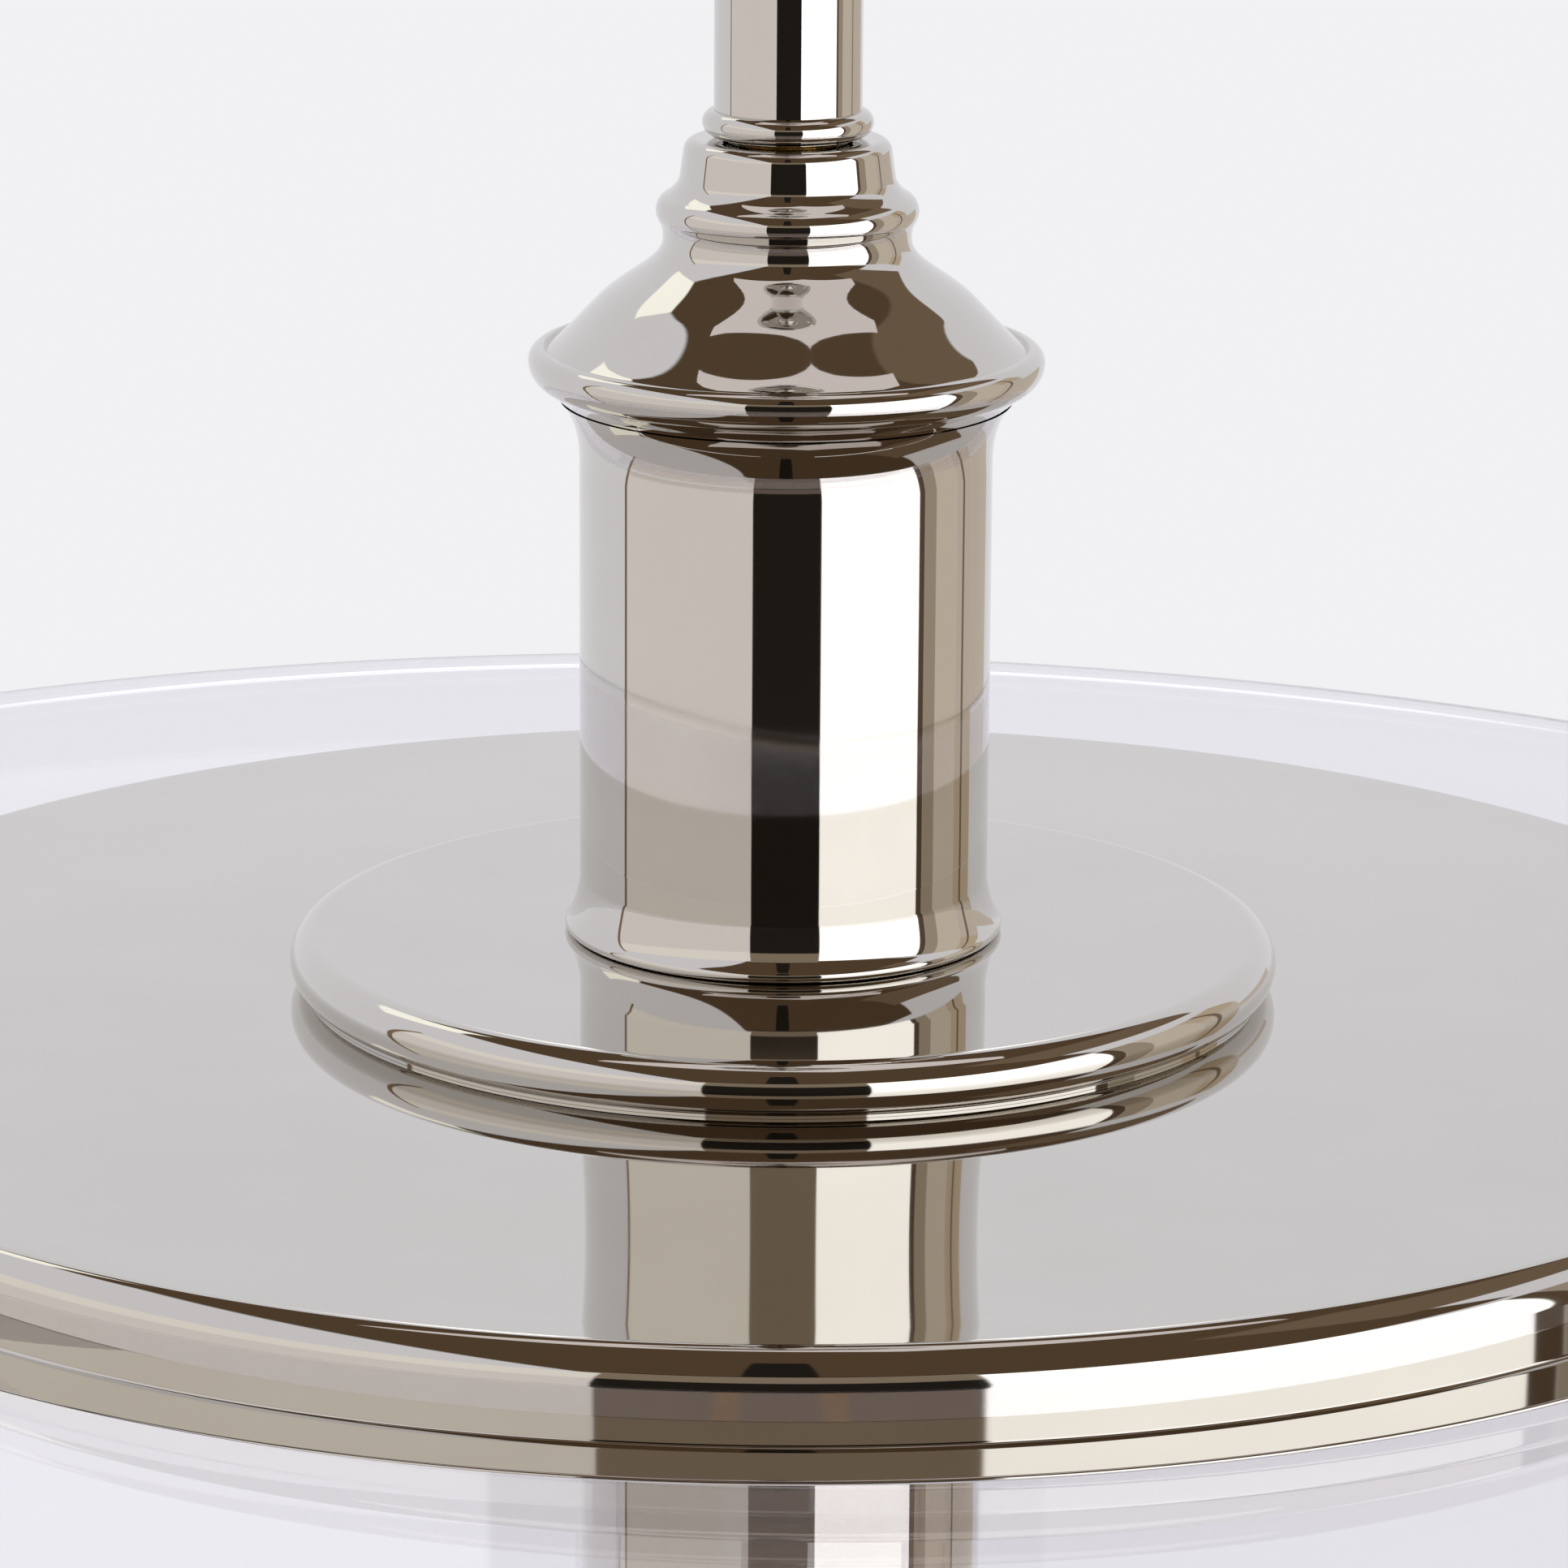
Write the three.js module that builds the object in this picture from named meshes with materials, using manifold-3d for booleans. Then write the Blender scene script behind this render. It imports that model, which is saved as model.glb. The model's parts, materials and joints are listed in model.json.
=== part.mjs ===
import * as THREE from 'three';
import { mergeVertices } from 'three/addons/utils/BufferGeometryUtils.js';
import Module from 'manifold-3d';

// A pendant light: a spun canopy screwed to the ceiling, a two-axis swivel that lets the stem hang
// plumb, a polished stem, a turned neck, a wide flat shade cap with a thin brim, a flat-shouldered clear
// glass shade clamped under the cap, and a sleeved lampholder below it with one screw-in lamp.
// Millimetres, +Z up. The ceiling is the plane z = 0 and the light hangs below it on the Z axis.

// Fits
const SEAT_GAP = 0.3;            // between faces that rest on each other
const BORE_CLEARANCE = 0.3;      // radial, around whatever passes through a bore

// Ceiling strap and the two studs that carry the canopy
const STRAP_LENGTH = 100;
const STRAP_WIDTH = 22;
const STRAP_THICKNESS = 2.5;
const SLOT_LENGTH = 16;
const SLOT_WIDTH = 5;
const SLOT_CENTRE = 24;          // from the axis to the middle of a ceiling-screw slot
const STUD_CENTRE = 42;          // from the axis to a stud
const STUD_RADIUS = 2;
const STUD_REACH = 6;            // how far a stud stands out below the canopy
const BALL_NUT_RADIUS = 5.5;
const BALL_NUT_COLLAR = 2.2;     // height of the plain collar above the ball
const BALL_NUT_COLLAR_RADIUS = 4;

// Canopy
const CANOPY_LIP_RADIUS = 65;
const CANOPY_DISC_RADIUS = 57;
const CANOPY_DEPTH = 27;         // ceiling to the flat underside
const CANOPY_WALL = 1.2;
const CANOPY_LIP_EDGE = 1.4;
const CANOPY_COVE_DEPTH = 9;
const CANOPY_RIM_ROUND = 4;
const CANOPY_STEP_RADIUS = 24;
const CANOPY_STEP_DEPTH = 5;
const CANOPY_STEP_ROUND = 2.5;

// Hollow threaded nipples, their nuts and washers
const NIPPLE_RADIUS = 5;
const NIPPLE_BORE = 3;
const NIPPLE_TAIL = 1.5;         // thread left standing beyond a nut
const NUT_ACROSS_FLATS = 14;
const NUT_HEIGHT = 5;
const WASHER_RADIUS = 9;
const WASHER_THICKNESS = 1.2;

// Terminal block on the floor of the canopy
const BLOCK_LENGTH = 24;
const BLOCK_WIDTH = 13;
const BLOCK_HEIGHT = 13;
const BLOCK_CENTRE = 33;         // from the axis
const BLOCK_WELL_RADIUS = 2.6;
const BLOCK_WELL_DEPTH = 5;
const BLOCK_WELL_SPACING = 11;

// Two-axis swivel
const YOKE_BOSS_RADIUS = 10;
const YOKE_BOSS_HEIGHT = 8;
const YOKE_PLATE_THICKNESS = 4;
const PIVOT_DROP = 10.5;         // from a yoke's plate to the pivot
const EAR_WIDTH = 8;
const EAR_THICKNESS = 3.2;
const GIMBAL_RADIUS = 10;
const GIMBAL_BORE = 6;
const GIMBAL_HEIGHT = 8;
const GIMBAL_SIDE_PLAY = 0.4;
const PIVOT_RADIUS = 1.6;
const PIVOT_HEAD_RADIUS = 2.8;
const PIVOT_HEAD_HEIGHT = 1.6;
const PIVOT_ENGAGEMENT = 3;      // how deep a pivot screw reaches into the gimbal ring

// Stem
const STEM_RADIUS = 7.8;
const STEM_WALL = 1;
const STEM_LENGTH = 300;
const SPIGOT_LENGTH = 14;
const BUSH_LENGTH = 14;
const COLLAR_RADIUS = 9.05;
const COLLAR_HEIGHT = 2.8;

// Neck cap
const NECK_CAP_HEIGHT = 27.7;
const NECK_CAP_ROOF = 4.3;       // thickness of metal under the drum's top
const NECK_CAP_BORE = 9.6;
const NECK_CAP_SKIRT_BORE = 21;
const DRUM_RADIUS = 11.4;
const DRUM_TAPER = 0.4;
const DRUM_HEIGHT = 4;
const DRUM_ROUND = 1.3;
const NECK_BEAD_RADIUS = 13.9;
const NECK_BEAD_ROUND = 2;
const NECK_BEAD_HEIGHT = 20;     // of its middle above the neck cap's seat
const WAIST_RADIUS = 13.15;
const WAIST_HEIGHT = 17.1;
const BELL_MIDDLE_RADIUS = 19.4;
const BELL_MIDDLE_HEIGHT = 11.1;
const BELL_VALLEY_RADIUS = 25.6; // where the bell meets the rolled rim
const BELL_VALLEY_HEIGHT = 5.1;
const NECK_RIM_RADIUS = 27.4;
const NECK_RIM_HEIGHT = 4;       // of the rim's widest point above the neck cap's seat
const NECK_RIM_UPPER_ROUND = 1.5;
const NECK_RIM_LOWER_ROUND = 2.9;

// Neck cup
const CUP_RADIUS = 22;
const CUP_WALL = 1.2;
const CUP_HEIGHT = 57.7;
const CUP_FLARE_RADIUS = 24.1;
const CUP_FLARE_HEIGHT = 6.4;
const CUP_FOOT_RADIUS = 23.8;
const CUP_FOOT_HEIGHT = 5.6;

// Step flange on the shade cap
const FLANGE_RADIUS = 53.3;
const FLANGE_HEIGHT = 5.6;

// Shade cap
const CAP_DISC_RADIUS = 119;     // to the widest point of the rolled rim
const CAP_CROWN_RADIUS = 58;     // of the level middle that carries the flange
const CAP_CROWN_RISE = 1.3;      // of the middle above the disc's edge
const CAP_LIP_RADIUS = 128;
const CAP_DEPTH = 9.5;
const CAP_WALL = 1.5;
const CAP_RIM_ROUND = 2.6;
const CAP_BAND_TOP = 3.4;        // depth at which the rim ends and the raked band starts
const CAP_BAND_FOOT = 8;         // depth at which the band turns out into the brim
const CAP_BAND_RAKE = 2.5;       // how much wider the band is at its foot
const CAP_LIP_EDGE = 0.7;

// Glass shade and what clamps it
const GLASS_RADIUS = 217;
const GLASS_HEIGHT = 240;
const GLASS_WALL = 4;
const GLASS_SHOULDER = 24;
const GLASS_FLARE = 6;           // how much wider the mouth is than the shoulder
const GLASS_HOLE = 52;
const SEAL_INNER_RADIUS = 56;
const SEAL_OUTER_RADIUS = 74;
const GASKET_THICKNESS = 1.5;
const PLATE_RADIUS = 78;
const PLATE_THICKNESS = 2;
const SHADE_RING_RADIUS = 27;
const SHADE_RING_HEIGHT = 6;

// Lampholder and the sleeve that carries it through the shade
const SLEEVE_RADIUS = 22;
const SLEEVE_WALL = 1;
const SLEEVE_ROOF = 3;
const SLEEVE_DROP = 56;          // from the shade ring to the sleeve's mouth
const HOLDER_RECESS = 2;         // from the sleeve's mouth up to the lampholder
const HOLDER_BODY_HEIGHT = 52;
const HOLDER_MOUTH_RADIUS = 16.6;
const HOLDER_MOUTH_DEPTH = 16;
const HOLDER_CROWN = 6;          // thickness of the body above the screw shell
const HOLDER_CAP_HEIGHT = 25;
const HOLDER_CAP_WALL = 2.3;
const HOLDER_CAP_NECK = 9;
const HOLDER_CAP_NECK_HEIGHT = 8;
const SHELL_RADIUS = 14.2;
const SHELL_WALL = 0.5;
const SHELL_LENGTH = 26;
const TONGUE_RADIUS = 4;
const TONGUE_DEPTH = 4.2;

// Flex
const FLEX_RADIUS = 2.25;

// Lamp
const LAMP_CAP_RADIUS = 13.1;
const LAMP_CAP_LENGTH = 23;
const LAMP_CAP_WALL = 0.6;
const LAMP_CAP_CONE = 3;
const INSULATOR_RADIUS = 8;
const INSULATOR_HEIGHT = 1.4;
const LAMP_CONTACT_RADIUS = 4.5;
const LAMP_CONTACT_HEIGHT = 1.2;
const LAMP_GLASS_RADIUS = 47.5;
const LAMP_GLASS_WALL = 1;
const LAMP_GLASS_LENGTH = 114;   // from the lamp cap's edge to the bottom of the globe
const LAMP_NECK_RADIUS = 14.6;
const LAMP_NECK_LENGTH = 18;
const LAMP_GLASS_TUCK = 5;       // length of neck cemented inside the lamp cap
const STEM_MOUNT_RADIUS = 5;
const STEM_MOUNT_LENGTH = 44;
const FILAMENT_RADIUS = 0.9;
const FILAMENT_LENGTH = 42;
const FILAMENT_COUNT = 4;
const FILAMENT_TOP_SPREAD = 6;
const FILAMENT_BOTTOM_SPREAD = 15;
const HUB_THICKNESS = 1.6;

// Facet counts
const WIDE_SIDES = 32;
const NECK_SIDES = 28;
const SLIM_SIDES = 20;
const FINE_SIDES = 12;
const ARC_STEPS = 3;
const CORD_SIDES = 10;
const CORD_STEPS = 16;
const WELD = 1e-4;               // corners nearer than this are one

// Heights down the axis, each from the piece above it
const canopyBottom = -CANOPY_DEPTH - CANOPY_STEP_DEPTH;
const upperYokeTop = canopyBottom - SEAT_GAP;
const yokeHeight = YOKE_BOSS_HEIGHT + YOKE_PLATE_THICKNESS + PIVOT_DROP;
const pivotHeight = upperYokeTop - yokeHeight;
const lowerYokeBottom = pivotHeight - yokeHeight;
const stemTop = lowerYokeBottom - SEAT_GAP;
const stemBottom = stemTop - STEM_LENGTH;
const neckCapTop = stemBottom - SEAT_GAP;
const neckCapSeat = neckCapTop - NECK_CAP_HEIGHT;
const cupTop = neckCapSeat - SEAT_GAP;
const cupBottom = cupTop - CUP_HEIGHT;
const flangeTop = cupBottom - SEAT_GAP;
const flangeBottom = flangeTop - FLANGE_HEIGHT;
const capCrown = flangeBottom - SEAT_GAP;
const capTop = capCrown - CAP_CROWN_RISE;
const glassTop = capTop - CAP_DEPTH - SEAT_GAP;
const glassCrownUnder = glassTop - GLASS_WALL;
const lowerGasketTop = glassCrownUnder - SEAT_GAP;
const plateTop = lowerGasketTop - GASKET_THICKNESS - SEAT_GAP;
const shadeRingTop = plateTop - PLATE_THICKNESS - SEAT_GAP;
const sleeveBottom = shadeRingTop - SHADE_RING_HEIGHT - SLEEVE_DROP;
const holderBottom = sleeveBottom + HOLDER_RECESS;
const holderBodyTop = holderBottom + HOLDER_BODY_HEIGHT;
const holderCapBottom = holderBodyTop + SEAT_GAP;
const holderCapTop = holderCapBottom + HOLDER_CAP_HEIGHT;
const sleeveTop = holderCapTop + SEAT_GAP + SLEEVE_ROOF;
const shellTop = holderBodyTop - HOLDER_CROWN - SEAT_GAP;
const tongueTip = shellTop - TONGUE_DEPTH;
const lampTop = tongueTip - SEAT_GAP;
const insulatorTop = lampTop - LAMP_CONTACT_HEIGHT - SEAT_GAP;
const lampCapTop = insulatorTop - INSULATOR_HEIGHT - SEAT_GAP;
const lampCapBottom = lampCapTop - LAMP_CAP_LENGTH;
const globeBottom = lampCapBottom - LAMP_GLASS_LENGTH;
const globeCentre = globeBottom + LAMP_GLASS_RADIUS;

// Radii that follow from fits
const nippleHole = NIPPLE_RADIUS + BORE_CLEARANCE;
const stemBore = STEM_RADIUS - STEM_WALL;
const stemPlugRadius = stemBore - BORE_CLEARANCE;
const sleeveHole = SLEEVE_RADIUS + 2 * BORE_CLEARANCE;
const sleeveBore = SLEEVE_RADIUS - SLEEVE_WALL;
const holderRadius = sleeveBore - BORE_CLEARANCE;
const studHole = STUD_RADIUS + BORE_CLEARANCE;
const pivotHole = PIVOT_RADIUS + BORE_CLEARANCE;
const earInner = GIMBAL_RADIUS + GIMBAL_SIDE_PLAY;
const earOuter = earInner + EAR_THICKNESS;
const shellBore = SHELL_RADIUS - SHELL_WALL;

// Finishes
function finish(color, roughness, metalness) {
  return new THREE.MeshStandardMaterial({ color, roughness, metalness });
}

const polishedNickel = finish(0xd8d3cb, 0.05, 1);
const zincSteel = finish(0xb6b9bc, 0.35, 1);
const brass = finish(0xc9a45c, 0.25, 1);
const clearGlass = finish(0xeef3f2, 0.02, 0);
const silicone = finish(0xe4e4e0, 0.5, 0);
const ceramic = finish(0xf1eee6, 0.3, 0);
const flexSheath = finish(0x2b2a29, 0.6, 0);
const vitrite = finish(0x16151a, 0.2, 0);
const phosphor = finish(0xf2b84b, 0.6, 0);

const wasm = await Module();
wasm.setup();

const pendant = new THREE.Group();

function place(name, geometry, material) {
  const mesh = new THREE.Mesh(geometry, material);
  mesh.name = name;
  pendant.add(mesh);
}

// A closed solid from a geometry, with the shared corners of its faces welded
function solid(geometry) {
  const bare = geometry.clone();
  bare.deleteAttribute('normal');
  bare.deleteAttribute('uv');
  const welded = mergeVertices(bare, WELD);
  return new wasm.Manifold(new wasm.Mesh({
    numProp: 3,
    vertProperties: new Float32Array(welded.attributes.position.array),
    triVerts: new Uint32Array(welded.index.array),
  }));
}

function geometryOf(body) {
  const mesh = body.getMesh();
  const geometry = new THREE.BufferGeometry();
  geometry.setAttribute('position', new THREE.BufferAttribute(new Float32Array(mesh.vertProperties), 3));
  geometry.setIndex(new THREE.BufferAttribute(new Uint32Array(mesh.triVerts), 1));
  geometry.computeVertexNormals();
  return geometry;
}

// An outline in the (radius, height) half plane turned about the Z axis
function turned(outline, sides) {
  const isNew = (point, i, all) => i === 0 || point.distanceTo(all[i - 1]) > WELD;
  const points = outline.getPoints(ARC_STEPS).filter(isNew);
  if (THREE.ShapeUtils.area(points) < 0) points.reverse();
  return new THREE.LatheGeometry(points, sides).rotateX(Math.PI / 2);
}

function outlineFrom(radius, height) {
  const outline = new THREE.Path();
  outline.moveTo(radius, height);
  return outline;
}

// A plain ring of rectangular section
function ring(innerRadius, outerRadius, bottom, top, sides) {
  const outline = outlineFrom(innerRadius, bottom);
  outline.lineTo(outerRadius, bottom);
  outline.lineTo(outerRadius, top);
  outline.lineTo(innerRadius, top);
  outline.lineTo(innerRadius, bottom);
  return turned(outline, sides);
}

// A plain rod standing on the axis
function rod(radius, bottom, top, sides) {
  const outline = outlineFrom(0, bottom);
  outline.lineTo(radius, bottom);
  outline.lineTo(radius, top);
  outline.lineTo(0, top);
  return turned(outline, sides);
}

function hexNut(bottom) {
  const corner = NUT_ACROSS_FLATS / Math.sqrt(3);
  const shape = new THREE.Shape();
  for (let i = 0; i < 6; i++) {
    const angle = i * Math.PI / 3;
    const draw = i === 0 ? 'moveTo' : 'lineTo';
    shape[draw](corner * Math.cos(angle), corner * Math.sin(angle));
  }
  shape.closePath();
  const bore = new THREE.Path();
  bore.absarc(0, 0, nippleHole, 0, 2 * Math.PI, true);
  shape.holes.push(bore);
  const depth = NUT_HEIGHT;
  return new THREE.ExtrudeGeometry(shape, { depth, bevelEnabled: false, curveSegments: FINE_SIDES })
    .translate(0, 0, bottom);
}

// Steel strap with two slots for the ceiling screws and two holes for the studs
function mountingStrap() {
  const half = STRAP_LENGTH / 2 - STRAP_WIDTH / 2;
  const shape = new THREE.Shape();
  shape.absarc(half, 0, STRAP_WIDTH / 2, -Math.PI / 2, Math.PI / 2);
  shape.absarc(-half, 0, STRAP_WIDTH / 2, Math.PI / 2, 1.5 * Math.PI);
  shape.closePath();
  for (const side of [-1, 1]) {
    const slot = new THREE.Path();
    const reach = (SLOT_LENGTH - SLOT_WIDTH) / 2;
    slot.absarc(side * SLOT_CENTRE + reach, 0, SLOT_WIDTH / 2, -Math.PI / 2, Math.PI / 2);
    slot.absarc(side * SLOT_CENTRE - reach, 0, SLOT_WIDTH / 2, Math.PI / 2, 1.5 * Math.PI);
    slot.closePath();
    const hole = new THREE.Path();
    hole.absarc(side * STUD_CENTRE, 0, studHole, 0, 2 * Math.PI);
    shape.holes.push(slot, hole);
  }
  const depth = STRAP_THICKNESS;
  return new THREE.ExtrudeGeometry(shape, { depth, bevelEnabled: false, curveSegments: FINE_SIDES / 2 })
    .translate(0, 0, -STRAP_THICKNESS);
}

// Spun canopy: lip at the ceiling, cove, rounded rim, flat underside and a raised step
function canopy() {
  const disc = CANOPY_DISC_RADIUS;
  const discInside = disc - CANOPY_WALL;
  const discFloor = CANOPY_WALL - CANOPY_DEPTH;
  const rimTop = CANOPY_RIM_ROUND - CANOPY_DEPTH;
  const step = CANOPY_STEP_RADIUS;
  const stepInside = step - CANOPY_WALL;
  const stepFloor = canopyBottom + CANOPY_WALL;
  const outline = outlineFrom(nippleHole, canopyBottom);
  outline.lineTo(step - CANOPY_STEP_ROUND, canopyBottom);
  outline.quadraticCurveTo(step, canopyBottom, step, canopyBottom + CANOPY_STEP_ROUND);
  outline.lineTo(step, -CANOPY_DEPTH);
  outline.lineTo(disc - CANOPY_RIM_ROUND, -CANOPY_DEPTH);
  outline.quadraticCurveTo(disc, -CANOPY_DEPTH, disc, rimTop);
  outline.lineTo(disc, -CANOPY_COVE_DEPTH);
  outline.quadraticCurveTo(disc, -CANOPY_LIP_EDGE, CANOPY_LIP_RADIUS, -CANOPY_LIP_EDGE);
  outline.lineTo(CANOPY_LIP_RADIUS, 0);
  outline.lineTo(CANOPY_LIP_RADIUS - CANOPY_WALL, 0);
  outline.quadraticCurveTo(discInside, 0, discInside, -CANOPY_COVE_DEPTH);
  outline.lineTo(discInside, rimTop);
  outline.lineTo(disc - CANOPY_RIM_ROUND, discFloor);
  outline.lineTo(stepInside, discFloor);
  outline.lineTo(stepInside, canopyBottom + CANOPY_STEP_ROUND);
  outline.lineTo(step - CANOPY_STEP_ROUND, stepFloor);
  outline.lineTo(nippleHole, stepFloor);
  outline.lineTo(nippleHole, canopyBottom);
  let body = solid(turned(outline, WIDE_SIDES));
  for (const side of [-1, 1]) {
    const drill = rod(studHole, -2 * CANOPY_DEPTH, 0, FINE_SIDES).translate(side * STUD_CENTRE, 0, 0);
    body = body.subtract(solid(drill));
  }
  return geometryOf(body);
}

// Ball nut with a blind hole for the end of a stud
function ballNut() {
  const top = -CANOPY_DEPTH - SEAT_GAP;
  const collarRadius = BALL_NUT_COLLAR_RADIUS;
  const centre = top - BALL_NUT_COLLAR - Math.sqrt(BALL_NUT_RADIUS ** 2 - collarRadius ** 2);
  const start = Math.acos(collarRadius / BALL_NUT_RADIUS);
  const outline = outlineFrom(0, top - STUD_REACH - SEAT_GAP);
  outline.lineTo(studHole, top - STUD_REACH - SEAT_GAP);
  outline.lineTo(studHole, top);
  outline.lineTo(collarRadius, top);
  outline.lineTo(collarRadius, top - BALL_NUT_COLLAR);
  outline.absarc(0, centre, BALL_NUT_RADIUS, start, -Math.PI / 2, true);
  return turned(outline, FINE_SIDES);
}

// Terminal block with two screw wells in its top
function terminalBlock() {
  const floor = -CANOPY_DEPTH + CANOPY_WALL + SEAT_GAP;
  const block = new THREE.BoxGeometry(BLOCK_LENGTH, BLOCK_WIDTH, BLOCK_HEIGHT);
  let body = solid(block.translate(0, BLOCK_CENTRE, floor + BLOCK_HEIGHT / 2));
  for (const side of [-1, 1]) {
    const top = floor + BLOCK_HEIGHT;
    const well = rod(BLOCK_WELL_RADIUS, top - BLOCK_WELL_DEPTH, top + 1, FINE_SIDES);
    body = body.subtract(solid(well.translate(side * BLOCK_WELL_SPACING / 2, BLOCK_CENTRE, 0)));
  }
  return geometryOf(body);
}

// A rod along X, from one distance to another, at the pivot's height
function pivotRod(radius, near, far) {
  return rod(radius, near, far, FINE_SIDES).rotateY(Math.PI / 2);
}

// A yoke about the pivot at the origin, plate above, ears on the X axis, its boss given by an outline
function yoke(bossOutline) {
  let body = solid(turned(bossOutline, SLIM_SIDES));
  for (const side of [-1, 1]) {
    const ear = new THREE.Shape();
    ear.moveTo(EAR_WIDTH / 2, PIVOT_DROP + YOKE_PLATE_THICKNESS / 2);
    ear.lineTo(-EAR_WIDTH / 2, PIVOT_DROP + YOKE_PLATE_THICKNESS / 2);
    ear.absarc(0, 0, EAR_WIDTH / 2, Math.PI, 2 * Math.PI);
    ear.closePath();
    const sweep = { depth: EAR_THICKNESS, bevelEnabled: false, curveSegments: FINE_SIDES / 2 };
    const tab = new THREE.ExtrudeGeometry(ear, sweep);
    const axes = new THREE.Matrix4().makeBasis(
      new THREE.Vector3(0, 1, 0), new THREE.Vector3(0, 0, 1), new THREE.Vector3(1, 0, 0));
    tab.applyMatrix4(axes).translate(side > 0 ? earInner : -earOuter, 0, 0);
    body = body.add(solid(tab));
  }
  return geometryOf(body.subtract(solid(pivotRod(pivotHole, -2 * earOuter, 2 * earOuter))));
}

// The plate and boss that both yokes have, open at the top for a socket or a spigot
function yokeOutline(boreAtPlate) {
  const plateRadius = Math.hypot(earOuter, EAR_WIDTH / 2);
  const plateTop = PIVOT_DROP + YOKE_PLATE_THICKNESS;
  const outline = outlineFrom(boreAtPlate, PIVOT_DROP);
  outline.lineTo(plateRadius, PIVOT_DROP);
  outline.lineTo(plateRadius, PIVOT_DROP + YOKE_PLATE_THICKNESS / 2);
  outline.quadraticCurveTo(plateRadius, plateTop, YOKE_BOSS_RADIUS, plateTop + YOKE_PLATE_THICKNESS / 2);
  outline.lineTo(YOKE_BOSS_RADIUS, yokeHeight);
  return outline;
}

function upperYoke() {
  const plateTop = PIVOT_DROP + YOKE_PLATE_THICKNESS;
  const outline = yokeOutline(NIPPLE_BORE);
  outline.lineTo(nippleHole, yokeHeight);
  outline.lineTo(nippleHole, plateTop);
  outline.lineTo(NIPPLE_BORE, plateTop);
  outline.lineTo(NIPPLE_BORE, PIVOT_DROP);
  return yoke(outline).translate(0, 0, pivotHeight);
}

function lowerYoke() {
  const outline = yokeOutline(NIPPLE_BORE);
  outline.lineTo(stemPlugRadius, yokeHeight);
  outline.lineTo(stemPlugRadius, yokeHeight + SPIGOT_LENGTH);
  outline.lineTo(NIPPLE_BORE, yokeHeight + SPIGOT_LENGTH);
  outline.lineTo(NIPPLE_BORE, PIVOT_DROP);
  return yoke(outline).rotateX(Math.PI).rotateZ(Math.PI / 2).translate(0, 0, pivotHeight);
}

function gimbalRing() {
  let body = solid(ring(GIMBAL_BORE, GIMBAL_RADIUS, -GIMBAL_HEIGHT / 2, GIMBAL_HEIGHT / 2, SLIM_SIDES));
  for (const turn of [0, Math.PI / 2]) {
    const drill = pivotRod(pivotHole, -2 * GIMBAL_RADIUS, 2 * GIMBAL_RADIUS).rotateZ(turn);
    body = body.subtract(solid(drill));
  }
  return geometryOf(body).translate(0, 0, pivotHeight);
}

// Headed pivot screw on the +X side of the pivot, its head seated on the ear
function pivotScrew(turn) {
  const headSeat = earOuter + SEAT_GAP;
  const outline = outlineFrom(0, GIMBAL_RADIUS - PIVOT_ENGAGEMENT);
  outline.lineTo(PIVOT_RADIUS, GIMBAL_RADIUS - PIVOT_ENGAGEMENT);
  outline.lineTo(PIVOT_RADIUS, headSeat);
  outline.lineTo(PIVOT_HEAD_RADIUS, headSeat);
  outline.quadraticCurveTo(PIVOT_HEAD_RADIUS, headSeat + PIVOT_HEAD_HEIGHT, 0, headSeat + PIVOT_HEAD_HEIGHT);
  return turned(outline, FINE_SIDES).rotateY(Math.PI / 2).rotateZ(turn).translate(0, 0, pivotHeight);
}

// Half-round bead that hides an end of the stem
function stemCollar(bottom) {
  const bore = STEM_RADIUS + BORE_CLEARANCE;
  const middle = bottom + COLLAR_HEIGHT / 2;
  const outline = outlineFrom(bore, bottom);
  outline.absellipse(bore, middle, COLLAR_RADIUS - bore, COLLAR_HEIGHT / 2, -Math.PI / 2, Math.PI / 2);
  outline.lineTo(bore, bottom);
  return turned(outline, SLIM_SIDES);
}

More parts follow.
